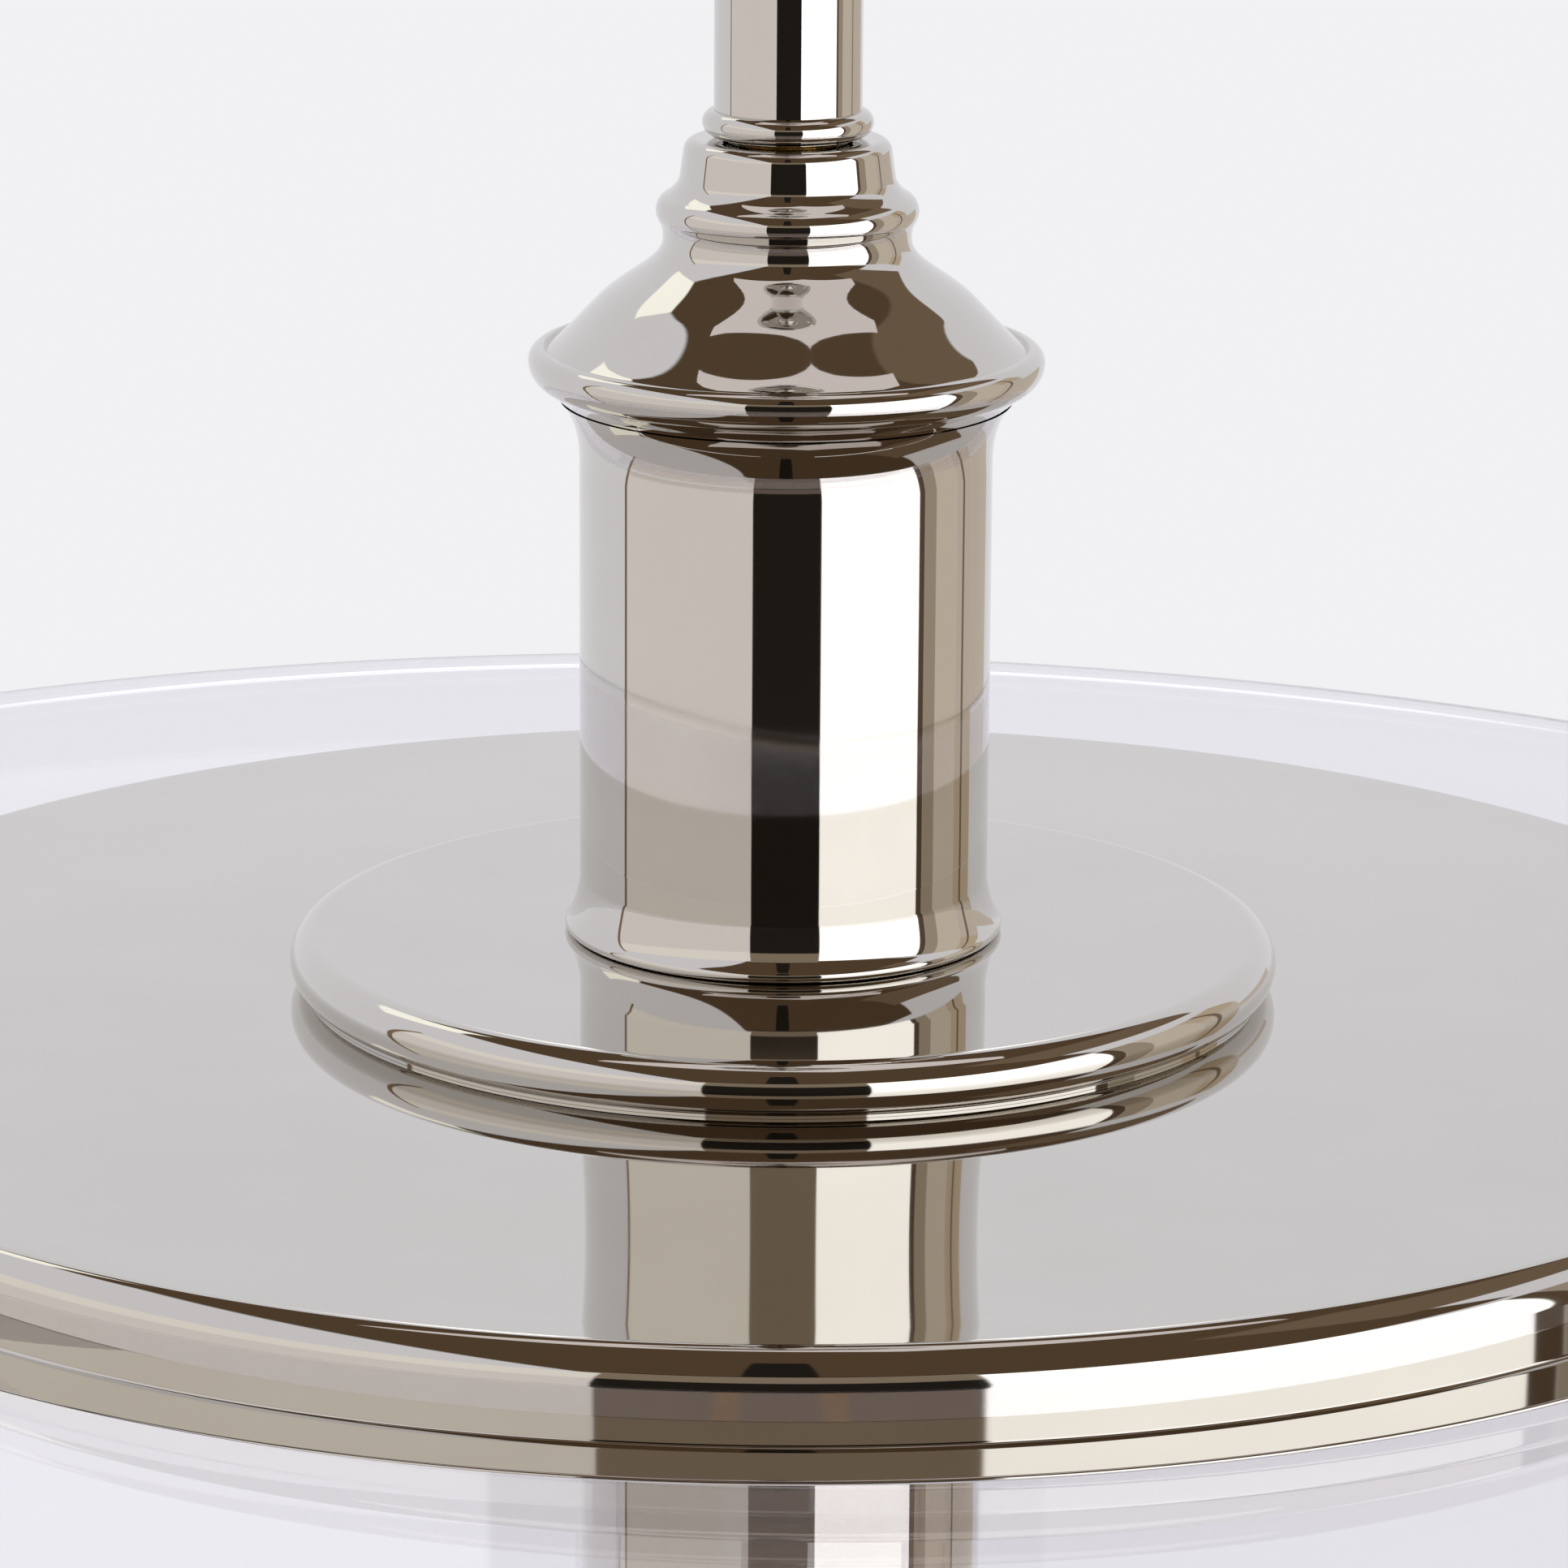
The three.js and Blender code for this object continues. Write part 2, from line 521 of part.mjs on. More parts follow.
// Turned neck cap: drum, bead, waist, bell and rolled rim, hollow underneath
function neckCap() {
  const top = NECK_CAP_HEIGHT;
  const drumTopRadius = DRUM_RADIUS - DRUM_TAPER;
  const beadCentre = NECK_BEAD_RADIUS - NECK_BEAD_ROUND;
  const beadStart = Math.PI / 3;
  const beadStartRadius = beadCentre + NECK_BEAD_ROUND * Math.cos(beadStart);
  const beadStartHeight = NECK_BEAD_HEIGHT + NECK_BEAD_ROUND * Math.sin(beadStart);
  const bellSlope = (BELL_MIDDLE_HEIGHT - BELL_VALLEY_HEIGHT) / (BELL_VALLEY_RADIUS - BELL_MIDDLE_RADIUS);
  const bellPull = BELL_MIDDLE_HEIGHT + bellSlope * (BELL_MIDDLE_RADIUS - WAIST_RADIUS);
  const upperCentre = NECK_RIM_RADIUS - NECK_RIM_UPPER_ROUND;
  const lowerCentre = NECK_RIM_RADIUS - NECK_RIM_LOWER_ROUND;
  const outline = outlineFrom(nippleHole, top);
  outline.lineTo(drumTopRadius - DRUM_ROUND, top);
  outline.quadraticCurveTo(drumTopRadius, top, drumTopRadius, top - DRUM_ROUND);
  outline.lineTo(DRUM_RADIUS, top - DRUM_HEIGHT);
  outline.quadraticCurveTo(DRUM_RADIUS, NECK_BEAD_HEIGHT + NECK_BEAD_ROUND, beadStartRadius, beadStartHeight);
  outline.absarc(beadCentre, NECK_BEAD_HEIGHT, NECK_BEAD_ROUND, beadStart, -Math.PI / 4, true);
  outline.lineTo(WAIST_RADIUS, WAIST_HEIGHT);
  outline.quadraticCurveTo(WAIST_RADIUS, bellPull, BELL_MIDDLE_RADIUS, BELL_MIDDLE_HEIGHT);
  outline.lineTo(BELL_VALLEY_RADIUS, BELL_VALLEY_HEIGHT);
  outline.absarc(upperCentre, NECK_RIM_HEIGHT, NECK_RIM_UPPER_ROUND, Math.PI / 2, 0, true);
  outline.absarc(lowerCentre, NECK_RIM_HEIGHT, NECK_RIM_LOWER_ROUND, 0, -Math.PI / 3, true);
  outline.lineTo(CUP_FLARE_RADIUS, 0);
  outline.lineTo(NECK_CAP_SKIRT_BORE, 0);
  outline.lineTo(NECK_CAP_SKIRT_BORE, NECK_RIM_HEIGHT / 2);
  outline.lineTo(NECK_CAP_BORE, WAIST_HEIGHT - NECK_BEAD_ROUND);
  outline.lineTo(NECK_CAP_BORE, top - NECK_CAP_ROOF);
  outline.lineTo(nippleHole, top - NECK_CAP_ROOF);
  outline.lineTo(nippleHole, top);
  return turned(outline, NECK_SIDES).translate(0, 0, neckCapSeat);
}

// Drawn neck cup: flared top under the neck cap, straight wall, beaded foot
function neckCup() {
  const bore = CUP_RADIUS - CUP_WALL;
  const footMiddle = CUP_FOOT_HEIGHT / 4;
  const outline = outlineFrom(bore, 0);
  outline.lineTo(CUP_RADIUS + CUP_WALL / 2, 0);
  outline.quadraticCurveTo(CUP_FOOT_RADIUS, 0, CUP_FOOT_RADIUS, footMiddle);
  outline.quadraticCurveTo(CUP_FOOT_RADIUS - CUP_WALL / 4, CUP_FOOT_HEIGHT / 2, CUP_RADIUS, CUP_FOOT_HEIGHT);
  outline.lineTo(CUP_RADIUS, CUP_HEIGHT - CUP_FLARE_HEIGHT);
  outline.quadraticCurveTo(CUP_RADIUS, CUP_HEIGHT - CUP_FLARE_HEIGHT / 4, CUP_FLARE_RADIUS, CUP_HEIGHT);
  outline.lineTo(CUP_FLARE_RADIUS - CUP_WALL, CUP_HEIGHT);
  outline.quadraticCurveTo(bore, CUP_HEIGHT - CUP_FLARE_HEIGHT / 4, bore, CUP_HEIGHT - CUP_FLARE_HEIGHT);
  outline.lineTo(bore, 0);
  return turned(outline, NECK_SIDES).translate(0, 0, cupBottom);
}

// Turned step flange: flat plate with a half-round edge
function stepFlange() {
  const edge = FLANGE_HEIGHT / 2;
  const outline = outlineFrom(sleeveHole, 0);
  outline.lineTo(FLANGE_RADIUS - edge, 0);
  outline.absarc(FLANGE_RADIUS - edge, edge, edge, -Math.PI / 2, Math.PI / 2);
  outline.lineTo(sleeveHole, FLANGE_HEIGHT);
  outline.lineTo(sleeveHole, 0);
  return turned(outline, WIDE_SIDES).translate(0, 0, flangeBottom);
}

// Spun shade cap: wide disc with a raised middle, rolled rim, raked band and a thin flat brim
function shadeCap() {
  const flat = CAP_DISC_RADIUS - CAP_RIM_ROUND;
  const inside = CAP_DISC_RADIUS - CAP_WALL;
  const foot = CAP_DISC_RADIUS + CAP_BAND_RAKE;
  const lipTop = CAP_LIP_EDGE - CAP_DEPTH;
  const crownUnder = CAP_CROWN_RISE - CAP_WALL;
  const slope = (CAP_CROWN_RADIUS + flat) / 2;
  const outline = outlineFrom(sleeveHole, crownUnder);
  outline.lineTo(SEAL_OUTER_RADIUS + CAP_WALL, crownUnder);
  outline.lineTo(flat - CAP_WALL, -CAP_WALL);
  outline.quadraticCurveTo(inside, -CAP_WALL, inside, -CAP_BAND_TOP);
  outline.lineTo(foot - CAP_WALL, -CAP_DEPTH);
  outline.lineTo(CAP_LIP_RADIUS, -CAP_DEPTH);
  outline.lineTo(CAP_LIP_RADIUS, lipTop);
  outline.quadraticCurveTo(foot, lipTop, foot, -CAP_BAND_FOOT);
  outline.lineTo(CAP_DISC_RADIUS, -CAP_BAND_TOP);
  outline.lineTo(CAP_DISC_RADIUS, -CAP_RIM_ROUND);
  outline.quadraticCurveTo(CAP_DISC_RADIUS, 0, flat, 0);
  outline.bezierCurveTo(slope, 0, slope, CAP_CROWN_RISE, CAP_CROWN_RADIUS, CAP_CROWN_RISE);
  outline.lineTo(sleeveHole, CAP_CROWN_RISE);
  outline.lineTo(sleeveHole, crownUnder);
  return turned(outline, WIDE_SIDES).translate(0, 0, capTop);
}

// Blown glass shade: flat crown with a hole, round shoulder, slightly flared side, round mouth
function glassShade() {
  const crown = GLASS_RADIUS - GLASS_SHOULDER;
  const inner = GLASS_RADIUS - GLASS_WALL;
  const mouth = GLASS_RADIUS + GLASS_FLARE;
  const mouthRound = GLASS_WALL / 2;
  const outline = outlineFrom(GLASS_HOLE, -GLASS_WALL);
  outline.lineTo(crown, -GLASS_WALL);
  outline.absarc(crown, -GLASS_SHOULDER, GLASS_SHOULDER - GLASS_WALL, Math.PI / 2, 0, true);
  outline.quadraticCurveTo(inner, -GLASS_HEIGHT / 2, mouth - GLASS_WALL, mouthRound - GLASS_HEIGHT);
  outline.absarc(mouth - mouthRound, mouthRound - GLASS_HEIGHT, mouthRound, -Math.PI, 0);
  outline.quadraticCurveTo(GLASS_RADIUS, -GLASS_HEIGHT / 2, GLASS_RADIUS, -GLASS_SHOULDER);
  outline.absarc(crown, -GLASS_SHOULDER, GLASS_SHOULDER, 0, Math.PI / 2);
  outline.lineTo(GLASS_HOLE, 0);
  outline.lineTo(GLASS_HOLE, -GLASS_WALL);
  return turned(outline, WIDE_SIDES).translate(0, 0, glassTop);
}

// Sleeve hung on the nipple by its roof: threaded outside for the shade ring, open at its mouth
function lampholderSleeve() {
  const outline = outlineFrom(nippleHole, sleeveTop);
  outline.lineTo(nippleHole, sleeveTop - SLEEVE_ROOF);
  outline.lineTo(sleeveBore, sleeveTop - SLEEVE_ROOF);
  outline.lineTo(sleeveBore, sleeveBottom);
  outline.lineTo(SLEEVE_RADIUS, sleeveBottom);
  outline.lineTo(SLEEVE_RADIUS, sleeveTop);
  outline.lineTo(nippleHole, sleeveTop);
  return turned(outline, NECK_SIDES);
}

// Lampholder body: wide mouth for the lamp's neck, bore for the screw shell
function lampholderBody() {
  const shellHole = SHELL_RADIUS + BORE_CLEARANCE;
  const outline = outlineFrom(0, holderBodyTop - HOLDER_CROWN);
  outline.lineTo(shellHole, holderBodyTop - HOLDER_CROWN);
  outline.lineTo(shellHole, holderBottom + HOLDER_MOUTH_DEPTH);
  outline.lineTo(HOLDER_MOUTH_RADIUS, holderBottom + HOLDER_MOUTH_DEPTH);
  outline.lineTo(HOLDER_MOUTH_RADIUS, holderBottom);
  outline.lineTo(holderRadius, holderBottom);
  outline.lineTo(holderRadius, holderBodyTop);
  outline.lineTo(0, holderBodyTop);
  return turned(outline, SLIM_SIDES);
}

// Domed lampholder cap with a threaded neck, hollow for the wiring
function lampholderCap() {
  const bore = holderRadius - HOLDER_CAP_WALL;
  const domeTop = HOLDER_CAP_HEIGHT - HOLDER_CAP_NECK_HEIGHT;
  const outline = outlineFrom(bore, 0);
  outline.lineTo(holderRadius, 0);
  outline.lineTo(holderRadius, domeTop / 2);
  outline.quadraticCurveTo(holderRadius, domeTop, HOLDER_CAP_NECK, domeTop);
  outline.lineTo(HOLDER_CAP_NECK, HOLDER_CAP_HEIGHT);
  outline.lineTo(nippleHole, HOLDER_CAP_HEIGHT);
  outline.lineTo(nippleHole, domeTop - HOLDER_CAP_WALL);
  outline.quadraticCurveTo(bore, domeTop - HOLDER_CAP_WALL, bore, domeTop / 3);
  outline.lineTo(bore, 0);
  return turned(outline, SLIM_SIDES).translate(0, 0, holderCapBottom);
}

// Sprung centre contact at the top of the screw shell
function contactTongue() {
  const outline = outlineFrom(0, tongueTip);
  outline.quadraticCurveTo(TONGUE_RADIUS, tongueTip, TONGUE_RADIUS, shellTop);
  outline.lineTo(0, shellTop);
  return turned(outline, FINE_SIDES);
}

// Lamp cap: straight threaded shell that closes in to the insulator
function lampCap() {
  const bore = LAMP_CAP_RADIUS - LAMP_CAP_WALL;
  const coneFoot = lampCapTop - LAMP_CAP_CONE;
  const outline = outlineFrom(bore, lampCapBottom);
  outline.lineTo(LAMP_CAP_RADIUS, lampCapBottom);
  outline.lineTo(LAMP_CAP_RADIUS, coneFoot);
  outline.lineTo(INSULATOR_RADIUS, lampCapTop);
  outline.lineTo(INSULATOR_RADIUS - LAMP_CAP_WALL, lampCapTop - LAMP_CAP_WALL);
  outline.lineTo(bore, coneFoot - LAMP_CAP_WALL);
  outline.lineTo(bore, lampCapBottom);
  return turned(outline, SLIM_SIDES);
}

// Glass globe with a neck that tucks into the lamp cap
function lampGlass() {
  const wall = LAMP_GLASS_WALL;
  const tuckRadius = LAMP_CAP_RADIUS - LAMP_CAP_WALL - BORE_CLEARANCE;
  const tuckTop = lampCapBottom + LAMP_GLASS_TUCK;
  const neckFoot = lampCapBottom - LAMP_NECK_LENGTH;
  const join = Math.PI / 3.4;
  const joinRadius = (radius) => radius * Math.cos(join);
  const joinHeight = (radius) => globeCentre + radius * Math.sin(join);
  const innerRadius = LAMP_GLASS_RADIUS - wall;
  const outline = outlineFrom(tuckRadius - wall, tuckTop);
  outline.lineTo(tuckRadius - wall, lampCapBottom);
  outline.lineTo(LAMP_NECK_RADIUS - wall, neckFoot);
  outline.quadraticCurveTo(LAMP_NECK_RADIUS, neckFoot - LAMP_NECK_LENGTH / 2,
    joinRadius(innerRadius), joinHeight(innerRadius));
  outline.absarc(0, globeCentre, innerRadius, join, -Math.PI / 2, true);
  outline.lineTo(0, globeBottom);
  outline.absarc(0, globeCentre, LAMP_GLASS_RADIUS, -Math.PI / 2, join);
  outline.quadraticCurveTo(LAMP_NECK_RADIUS + wall, neckFoot - LAMP_NECK_LENGTH / 2,
    LAMP_NECK_RADIUS, neckFoot);
  outline.lineTo(tuckRadius, lampCapBottom - SEAT_GAP);
  outline.lineTo(tuckRadius, tuckTop);
  outline.lineTo(tuckRadius - wall, tuckTop);
  return turned(outline, SLIM_SIDES);
}

// Glass stem inside the lamp, flared where it is sealed into the neck
function lampStem() {
  const flare = LAMP_CAP_RADIUS - LAMP_CAP_WALL - 2 * BORE_CLEARANCE - LAMP_GLASS_WALL;
  const outline = outlineFrom(0, lampCapBottom - STEM_MOUNT_LENGTH);
  outline.lineTo(STEM_MOUNT_RADIUS / 2, lampCapBottom - STEM_MOUNT_LENGTH);
  outline.lineTo(STEM_MOUNT_RADIUS, lampCapBottom - STEM_MOUNT_LENGTH / 2);
  outline.quadraticCurveTo(STEM_MOUNT_RADIUS, lampCapBottom, flare, lampCapBottom);
  outline.lineTo(flare, lampCapBottom + LAMP_GLASS_TUCK);
  outline.lineTo(0, lampCapBottom + LAMP_GLASS_TUCK);
  return turned(outline, FINE_SIDES);
}

// Straight light-giving rods between two small hubs, leaning outwards on the way down
function filamentCage() {
  const hubTop = lampCapBottom - STEM_MOUNT_LENGTH - SEAT_GAP;
  const upper = hubTop - HUB_THICKNESS / 2;
  const lower = upper - FILAMENT_LENGTH;
  const hubRadius = (spread) => spread + 2 * FILAMENT_RADIUS;
  let body = solid(rod(hubRadius(FILAMENT_TOP_SPREAD), hubTop - HUB_THICKNESS, hubTop, FINE_SIDES));
  const lowerHub = ring(FILAMENT_BOTTOM_SPREAD - 2 * FILAMENT_RADIUS, hubRadius(FILAMENT_BOTTOM_SPREAD),
    lower - HUB_THICKNESS / 2, lower + HUB_THICKNESS / 2, FINE_SIDES);
  body = body.add(solid(lowerHub));
  for (let i = 0; i < FILAMENT_COUNT; i++) {
    const angle = (i + 0.5) * 2 * Math.PI / FILAMENT_COUNT;
    const across = new THREE.Vector3(Math.cos(angle), Math.sin(angle), 0);
    const from = across.clone().multiplyScalar(FILAMENT_TOP_SPREAD).setZ(upper);
    const to = across.clone().multiplyScalar(FILAMENT_BOTTOM_SPREAD).setZ(lower);
    const path = new THREE.LineCurve3(from, to);
    const section = new THREE.Shape().absarc(0, 0, FILAMENT_RADIUS, 0, 2 * Math.PI);
    const sweep = { steps: 1, extrudePath: path, curveSegments: ARC_STEPS };
    const strand = new THREE.ExtrudeGeometry(section, sweep);
    body = body.add(solid(strand));
  }
  return geometryOf(body);
}

// The flex from the terminal block, over and down the nipple, to a round end at the pivot
const blockFace = BLOCK_CENTRE - BLOCK_WIDTH / 2 - SEAT_GAP;
const nippleTop = canopyBottom + CANOPY_WALL + WASHER_THICKNESS + NUT_HEIGHT + 2 * SEAT_GAP + NIPPLE_TAIL;
const upperFlexRoute = [
  [0, blockFace, -16],
  [0, 23, -16],
  [0, 19, -13.6],
  [0, 13.5, -9],
  [0, 7, -7.5],
  [0, 1.8, -11],
  [0, 0, -18],
  [0, 0, -26],
  [0, 0, pivotHeight + FLEX_RADIUS + SEAT_GAP / 2],
];

function upperFlex() {
  const path = new THREE.CatmullRomCurve3(upperFlexRoute.map((point) => new THREE.Vector3(...point)));
  const section = new THREE.Shape().absarc(0, 0, FLEX_RADIUS, 0, 2 * Math.PI);
  const sweep = { steps: CORD_STEPS, extrudePath: path, curveSegments: CORD_SIDES / 2 };
  const tube = new THREE.ExtrudeGeometry(section, sweep);
  const end = new THREE.SphereGeometry(FLEX_RADIUS, CORD_SIDES, CORD_SIDES / 2).rotateX(Math.PI / 2);
  end.translate(0, 0, pivotHeight + FLEX_RADIUS + SEAT_GAP / 2);
  return geometryOf(solid(tube).add(solid(end)));
}

// The flex from the pivot down the stem and the lower nipple into the lampholder cap
function lowerFlex() {
  const top = pivotHeight - SEAT_GAP / 2;
  const outline = outlineFrom(0, holderCapBottom);
  outline.lineTo(FLEX_RADIUS, holderCapBottom);
  outline.lineTo(FLEX_RADIUS, top - FLEX_RADIUS);
  outline.absarc(0, top - FLEX_RADIUS, FLEX_RADIUS, 0, Math.PI / 2);
  return turned(outline, CORD_SIDES);
}

// Ceiling side
place('mounting_strap', mountingStrap(), zincSteel);
for (const [tag, side] of [['a', -1], ['b', 1]]) {
  const stud = rod(STUD_RADIUS, -CANOPY_DEPTH - SEAT_GAP - STUD_REACH, -SEAT_GAP, FINE_SIDES);
  place(`canopy_stud_${tag}`, stud.translate(side * STUD_CENTRE, 0, 0), zincSteel);
  place(`canopy_ball_nut_${tag}`, ballNut().translate(side * STUD_CENTRE, 0, 0), polishedNickel);
}
place('canopy', canopy(), polishedNickel);
const canopyWasherBottom = canopyBottom + CANOPY_WALL + SEAT_GAP;
const canopyNutBottom = canopyWasherBottom + WASHER_THICKNESS + SEAT_GAP;
const washer = (bottom) => ring(nippleHole, WASHER_RADIUS, bottom, bottom + WASHER_THICKNESS, SLIM_SIDES);
place('canopy_washer', washer(canopyWasherBottom), zincSteel);
place('canopy_nut', hexNut(canopyNutBottom), zincSteel);
const canopyNippleBottom = upperYokeTop - YOKE_BOSS_HEIGHT + SEAT_GAP;
place('canopy_nipple', ring(NIPPLE_BORE, NIPPLE_RADIUS, canopyNippleBottom, nippleTop, SLIM_SIDES), brass);
place('terminal_block', terminalBlock(), ceramic);
place('upper_flex', upperFlex(), flexSheath);

// Swivel
place('swivel_upper_yoke', upperYoke(), polishedNickel);
place('swivel_gimbal_ring', gimbalRing(), polishedNickel);
place('swivel_lower_yoke', lowerYoke(), polishedNickel);
['a', 'b'].forEach((tag, i) => {
  place(`pivot_screw_x_${tag}`, pivotScrew(i * Math.PI), polishedNickel);
  place(`pivot_screw_y_${tag}`, pivotScrew((i + 0.5) * Math.PI), polishedNickel);
});

// Stem
place('stem_top_collar', stemCollar(stemTop - COLLAR_HEIGHT), polishedNickel);
place('stem_tube', ring(stemBore, STEM_RADIUS, stemBottom, stemTop, SLIM_SIDES), polishedNickel);
place('stem_bush', ring(nippleHole, stemPlugRadius, stemBottom, stemBottom + BUSH_LENGTH, SLIM_SIDES), brass);
place('stem_lower_collar', stemCollar(stemBottom), polishedNickel);
place('lower_flex', lowerFlex(), flexSheath);

// Neck
const neckRoof = neckCapTop - NECK_CAP_ROOF;
const neckWasherTop = neckRoof - SEAT_GAP;
const neckNutTop = neckWasherTop - WASHER_THICKNESS - SEAT_GAP;
const neckNippleBottom = holderCapTop - HOLDER_CAP_NECK_HEIGHT;
place('neck_cap', neckCap(), polishedNickel);
place('neck_washer', washer(neckWasherTop - WASHER_THICKNESS), zincSteel);
place('neck_locknut', hexNut(neckNutTop - NUT_HEIGHT), zincSteel);
const neckNippleTop = stemBottom + BUSH_LENGTH;
place('neck_nipple', ring(NIPPLE_BORE, NIPPLE_RADIUS, neckNippleBottom, neckNippleTop, SLIM_SIDES), brass);
place('lampholder_locknut', hexNut(sleeveTop + SEAT_GAP), zincSteel);
place('neck_cup', neckCup(), polishedNickel);
place('step_flange', stepFlange(), polishedNickel);

// Shade and its clamp
const upperGasketBottom = glassTop + SEAT_GAP;
const spacerBottom = upperGasketBottom + GASKET_THICKNESS + SEAT_GAP;
const seal = (bottom, top) => ring(SEAL_INNER_RADIUS, SEAL_OUTER_RADIUS, bottom, top, WIDE_SIDES);
place('shade_cap', shadeCap(), polishedNickel);
place('glass_spacer', seal(spacerBottom, capCrown - CAP_WALL - SEAT_GAP), zincSteel);
place('upper_gasket', seal(upperGasketBottom, upperGasketBottom + GASKET_THICKNESS), silicone);
place('glass_shade', glassShade(), clearGlass);
place('lower_gasket', seal(lowerGasketTop - GASKET_THICKNESS, lowerGasketTop), silicone);
const clampRing = (radius, top, height) => ring(sleeveHole, radius, top - height, top, WIDE_SIDES);
place('retaining_plate', clampRing(PLATE_RADIUS, plateTop, PLATE_THICKNESS), polishedNickel);
place('shade_ring', clampRing(SHADE_RING_RADIUS, shadeRingTop, SHADE_RING_HEIGHT), polishedNickel);

// Lampholder
const screwShell = ring(shellBore, SHELL_RADIUS, shellTop - SHELL_LENGTH, shellTop, SLIM_SIDES);
place('lampholder_sleeve', lampholderSleeve(), polishedNickel);
place('lampholder_cap', lampholderCap(), ceramic);
place('lampholder_body', lampholderBody(), ceramic);
place('lampholder_shell', screwShell, brass);
place('lampholder_contact', contactTongue(), brass);

// Lamp
place('lamp_cap', lampCap(), brass);
const insulator = rod(INSULATOR_RADIUS, insulatorTop - INSULATOR_HEIGHT, insulatorTop, SLIM_SIDES);
const contactButton = rod(LAMP_CONTACT_RADIUS, lampTop - LAMP_CONTACT_HEIGHT, lampTop, FINE_SIDES);
place('lamp_insulator', insulator, vitrite);
place('lamp_contact', contactButton, brass);
place('lamp_glass', lampGlass(), clearGlass);
place('lamp_stem', lampStem(), clearGlass);
place('lamp_filament', filamentCage(), phosphor);

export default pendant;
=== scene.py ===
# %% [markdown]
# # A polished nickel pendant light
# The light hangs from a canopy on a swivel. A stem carries a turned neck, a wide flat shade cap and a
# clear glass shade with one lamp in it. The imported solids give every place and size, and this lesson
# dresses them: turned pieces with fine outlines, glass that bends light, and a studio to reflect.

# %% Frame
import json
import math

import bmesh
import bpy
from mathutils import Matrix, Vector

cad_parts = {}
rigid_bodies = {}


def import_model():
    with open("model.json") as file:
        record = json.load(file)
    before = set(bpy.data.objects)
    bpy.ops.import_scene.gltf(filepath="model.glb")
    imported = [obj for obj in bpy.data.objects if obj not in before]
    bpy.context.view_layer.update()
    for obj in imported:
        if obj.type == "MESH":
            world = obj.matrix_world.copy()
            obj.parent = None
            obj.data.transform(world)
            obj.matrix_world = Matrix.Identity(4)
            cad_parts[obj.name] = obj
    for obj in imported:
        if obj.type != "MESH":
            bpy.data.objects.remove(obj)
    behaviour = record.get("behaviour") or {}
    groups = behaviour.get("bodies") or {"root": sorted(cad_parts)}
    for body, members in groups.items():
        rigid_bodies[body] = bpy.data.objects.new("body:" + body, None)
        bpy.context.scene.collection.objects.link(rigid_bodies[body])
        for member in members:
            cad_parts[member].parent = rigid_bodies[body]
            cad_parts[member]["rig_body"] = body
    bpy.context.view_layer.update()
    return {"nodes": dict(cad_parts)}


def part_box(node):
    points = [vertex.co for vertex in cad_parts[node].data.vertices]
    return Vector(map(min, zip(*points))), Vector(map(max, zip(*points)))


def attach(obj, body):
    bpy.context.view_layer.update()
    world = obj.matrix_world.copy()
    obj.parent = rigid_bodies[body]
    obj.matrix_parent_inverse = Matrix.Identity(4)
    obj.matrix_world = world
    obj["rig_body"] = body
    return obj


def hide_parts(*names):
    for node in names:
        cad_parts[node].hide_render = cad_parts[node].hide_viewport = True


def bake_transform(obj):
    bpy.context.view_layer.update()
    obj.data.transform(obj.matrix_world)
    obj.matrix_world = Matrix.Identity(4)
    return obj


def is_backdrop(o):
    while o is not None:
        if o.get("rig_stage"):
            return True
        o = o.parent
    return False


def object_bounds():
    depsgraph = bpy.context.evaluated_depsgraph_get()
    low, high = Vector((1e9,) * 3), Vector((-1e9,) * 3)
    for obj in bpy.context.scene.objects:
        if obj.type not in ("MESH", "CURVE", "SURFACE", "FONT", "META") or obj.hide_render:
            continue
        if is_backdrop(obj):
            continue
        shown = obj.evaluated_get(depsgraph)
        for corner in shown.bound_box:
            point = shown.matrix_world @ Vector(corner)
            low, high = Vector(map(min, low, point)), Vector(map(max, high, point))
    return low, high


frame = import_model()
MM = 0.001

# %% [markdown]
# ## Sizes from the solids
# A turned solid has corners on the X axis, so the edge of its box is its true radius. Everything below
# is written in millimetres, and the edge of the shade cap's top is the height that the neck, the flange
# and the rim are measured from. The middle of that top is spun a little higher.

# %% Measuring the solids
def top(node_name):
    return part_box(node_name)[1].z / MM


def bottom(node_name):
    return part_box(node_name)[0].z / MM


def reach(node_name):
    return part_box(node_name)[1].x / MM


def extent(node_name):
    return bottom(node_name), top(node_name), reach(node_name)


CAP_RISE = 1.3
DISC = top("shade_cap") - CAP_RISE
PIVOT = (top("swivel_gimbal_ring") + bottom("swivel_gimbal_ring")) / 2
print(f"disc top {DISC:.1f} mm, pivot {PIVOT:.1f} mm")

# %% [markdown]
# ## Camera
# The picture is a close view from a little above, with a long lens. Its distance and height come from
# the ellipses of the disc and the flange. The lens has no shift: the camera is pitched down, and rolled
# by a third of a degree, as the picture is.

# %% Camera
PHOTO_SIDE = 1932
FOCAL_PIXELS = 8510
DISC_CENTRE_ROW = 1218
SENSOR_WIDTH = 36
CAMERA_DISTANCE = 750
CAMERA_ELEVATION = math.radians(16.3)
CAMERA_ROLL = math.radians(0.35)


def add_object(name, data):
    made = bpy.data.objects.new(name, data)
    bpy.context.scene.collection.objects.link(made)
    return made


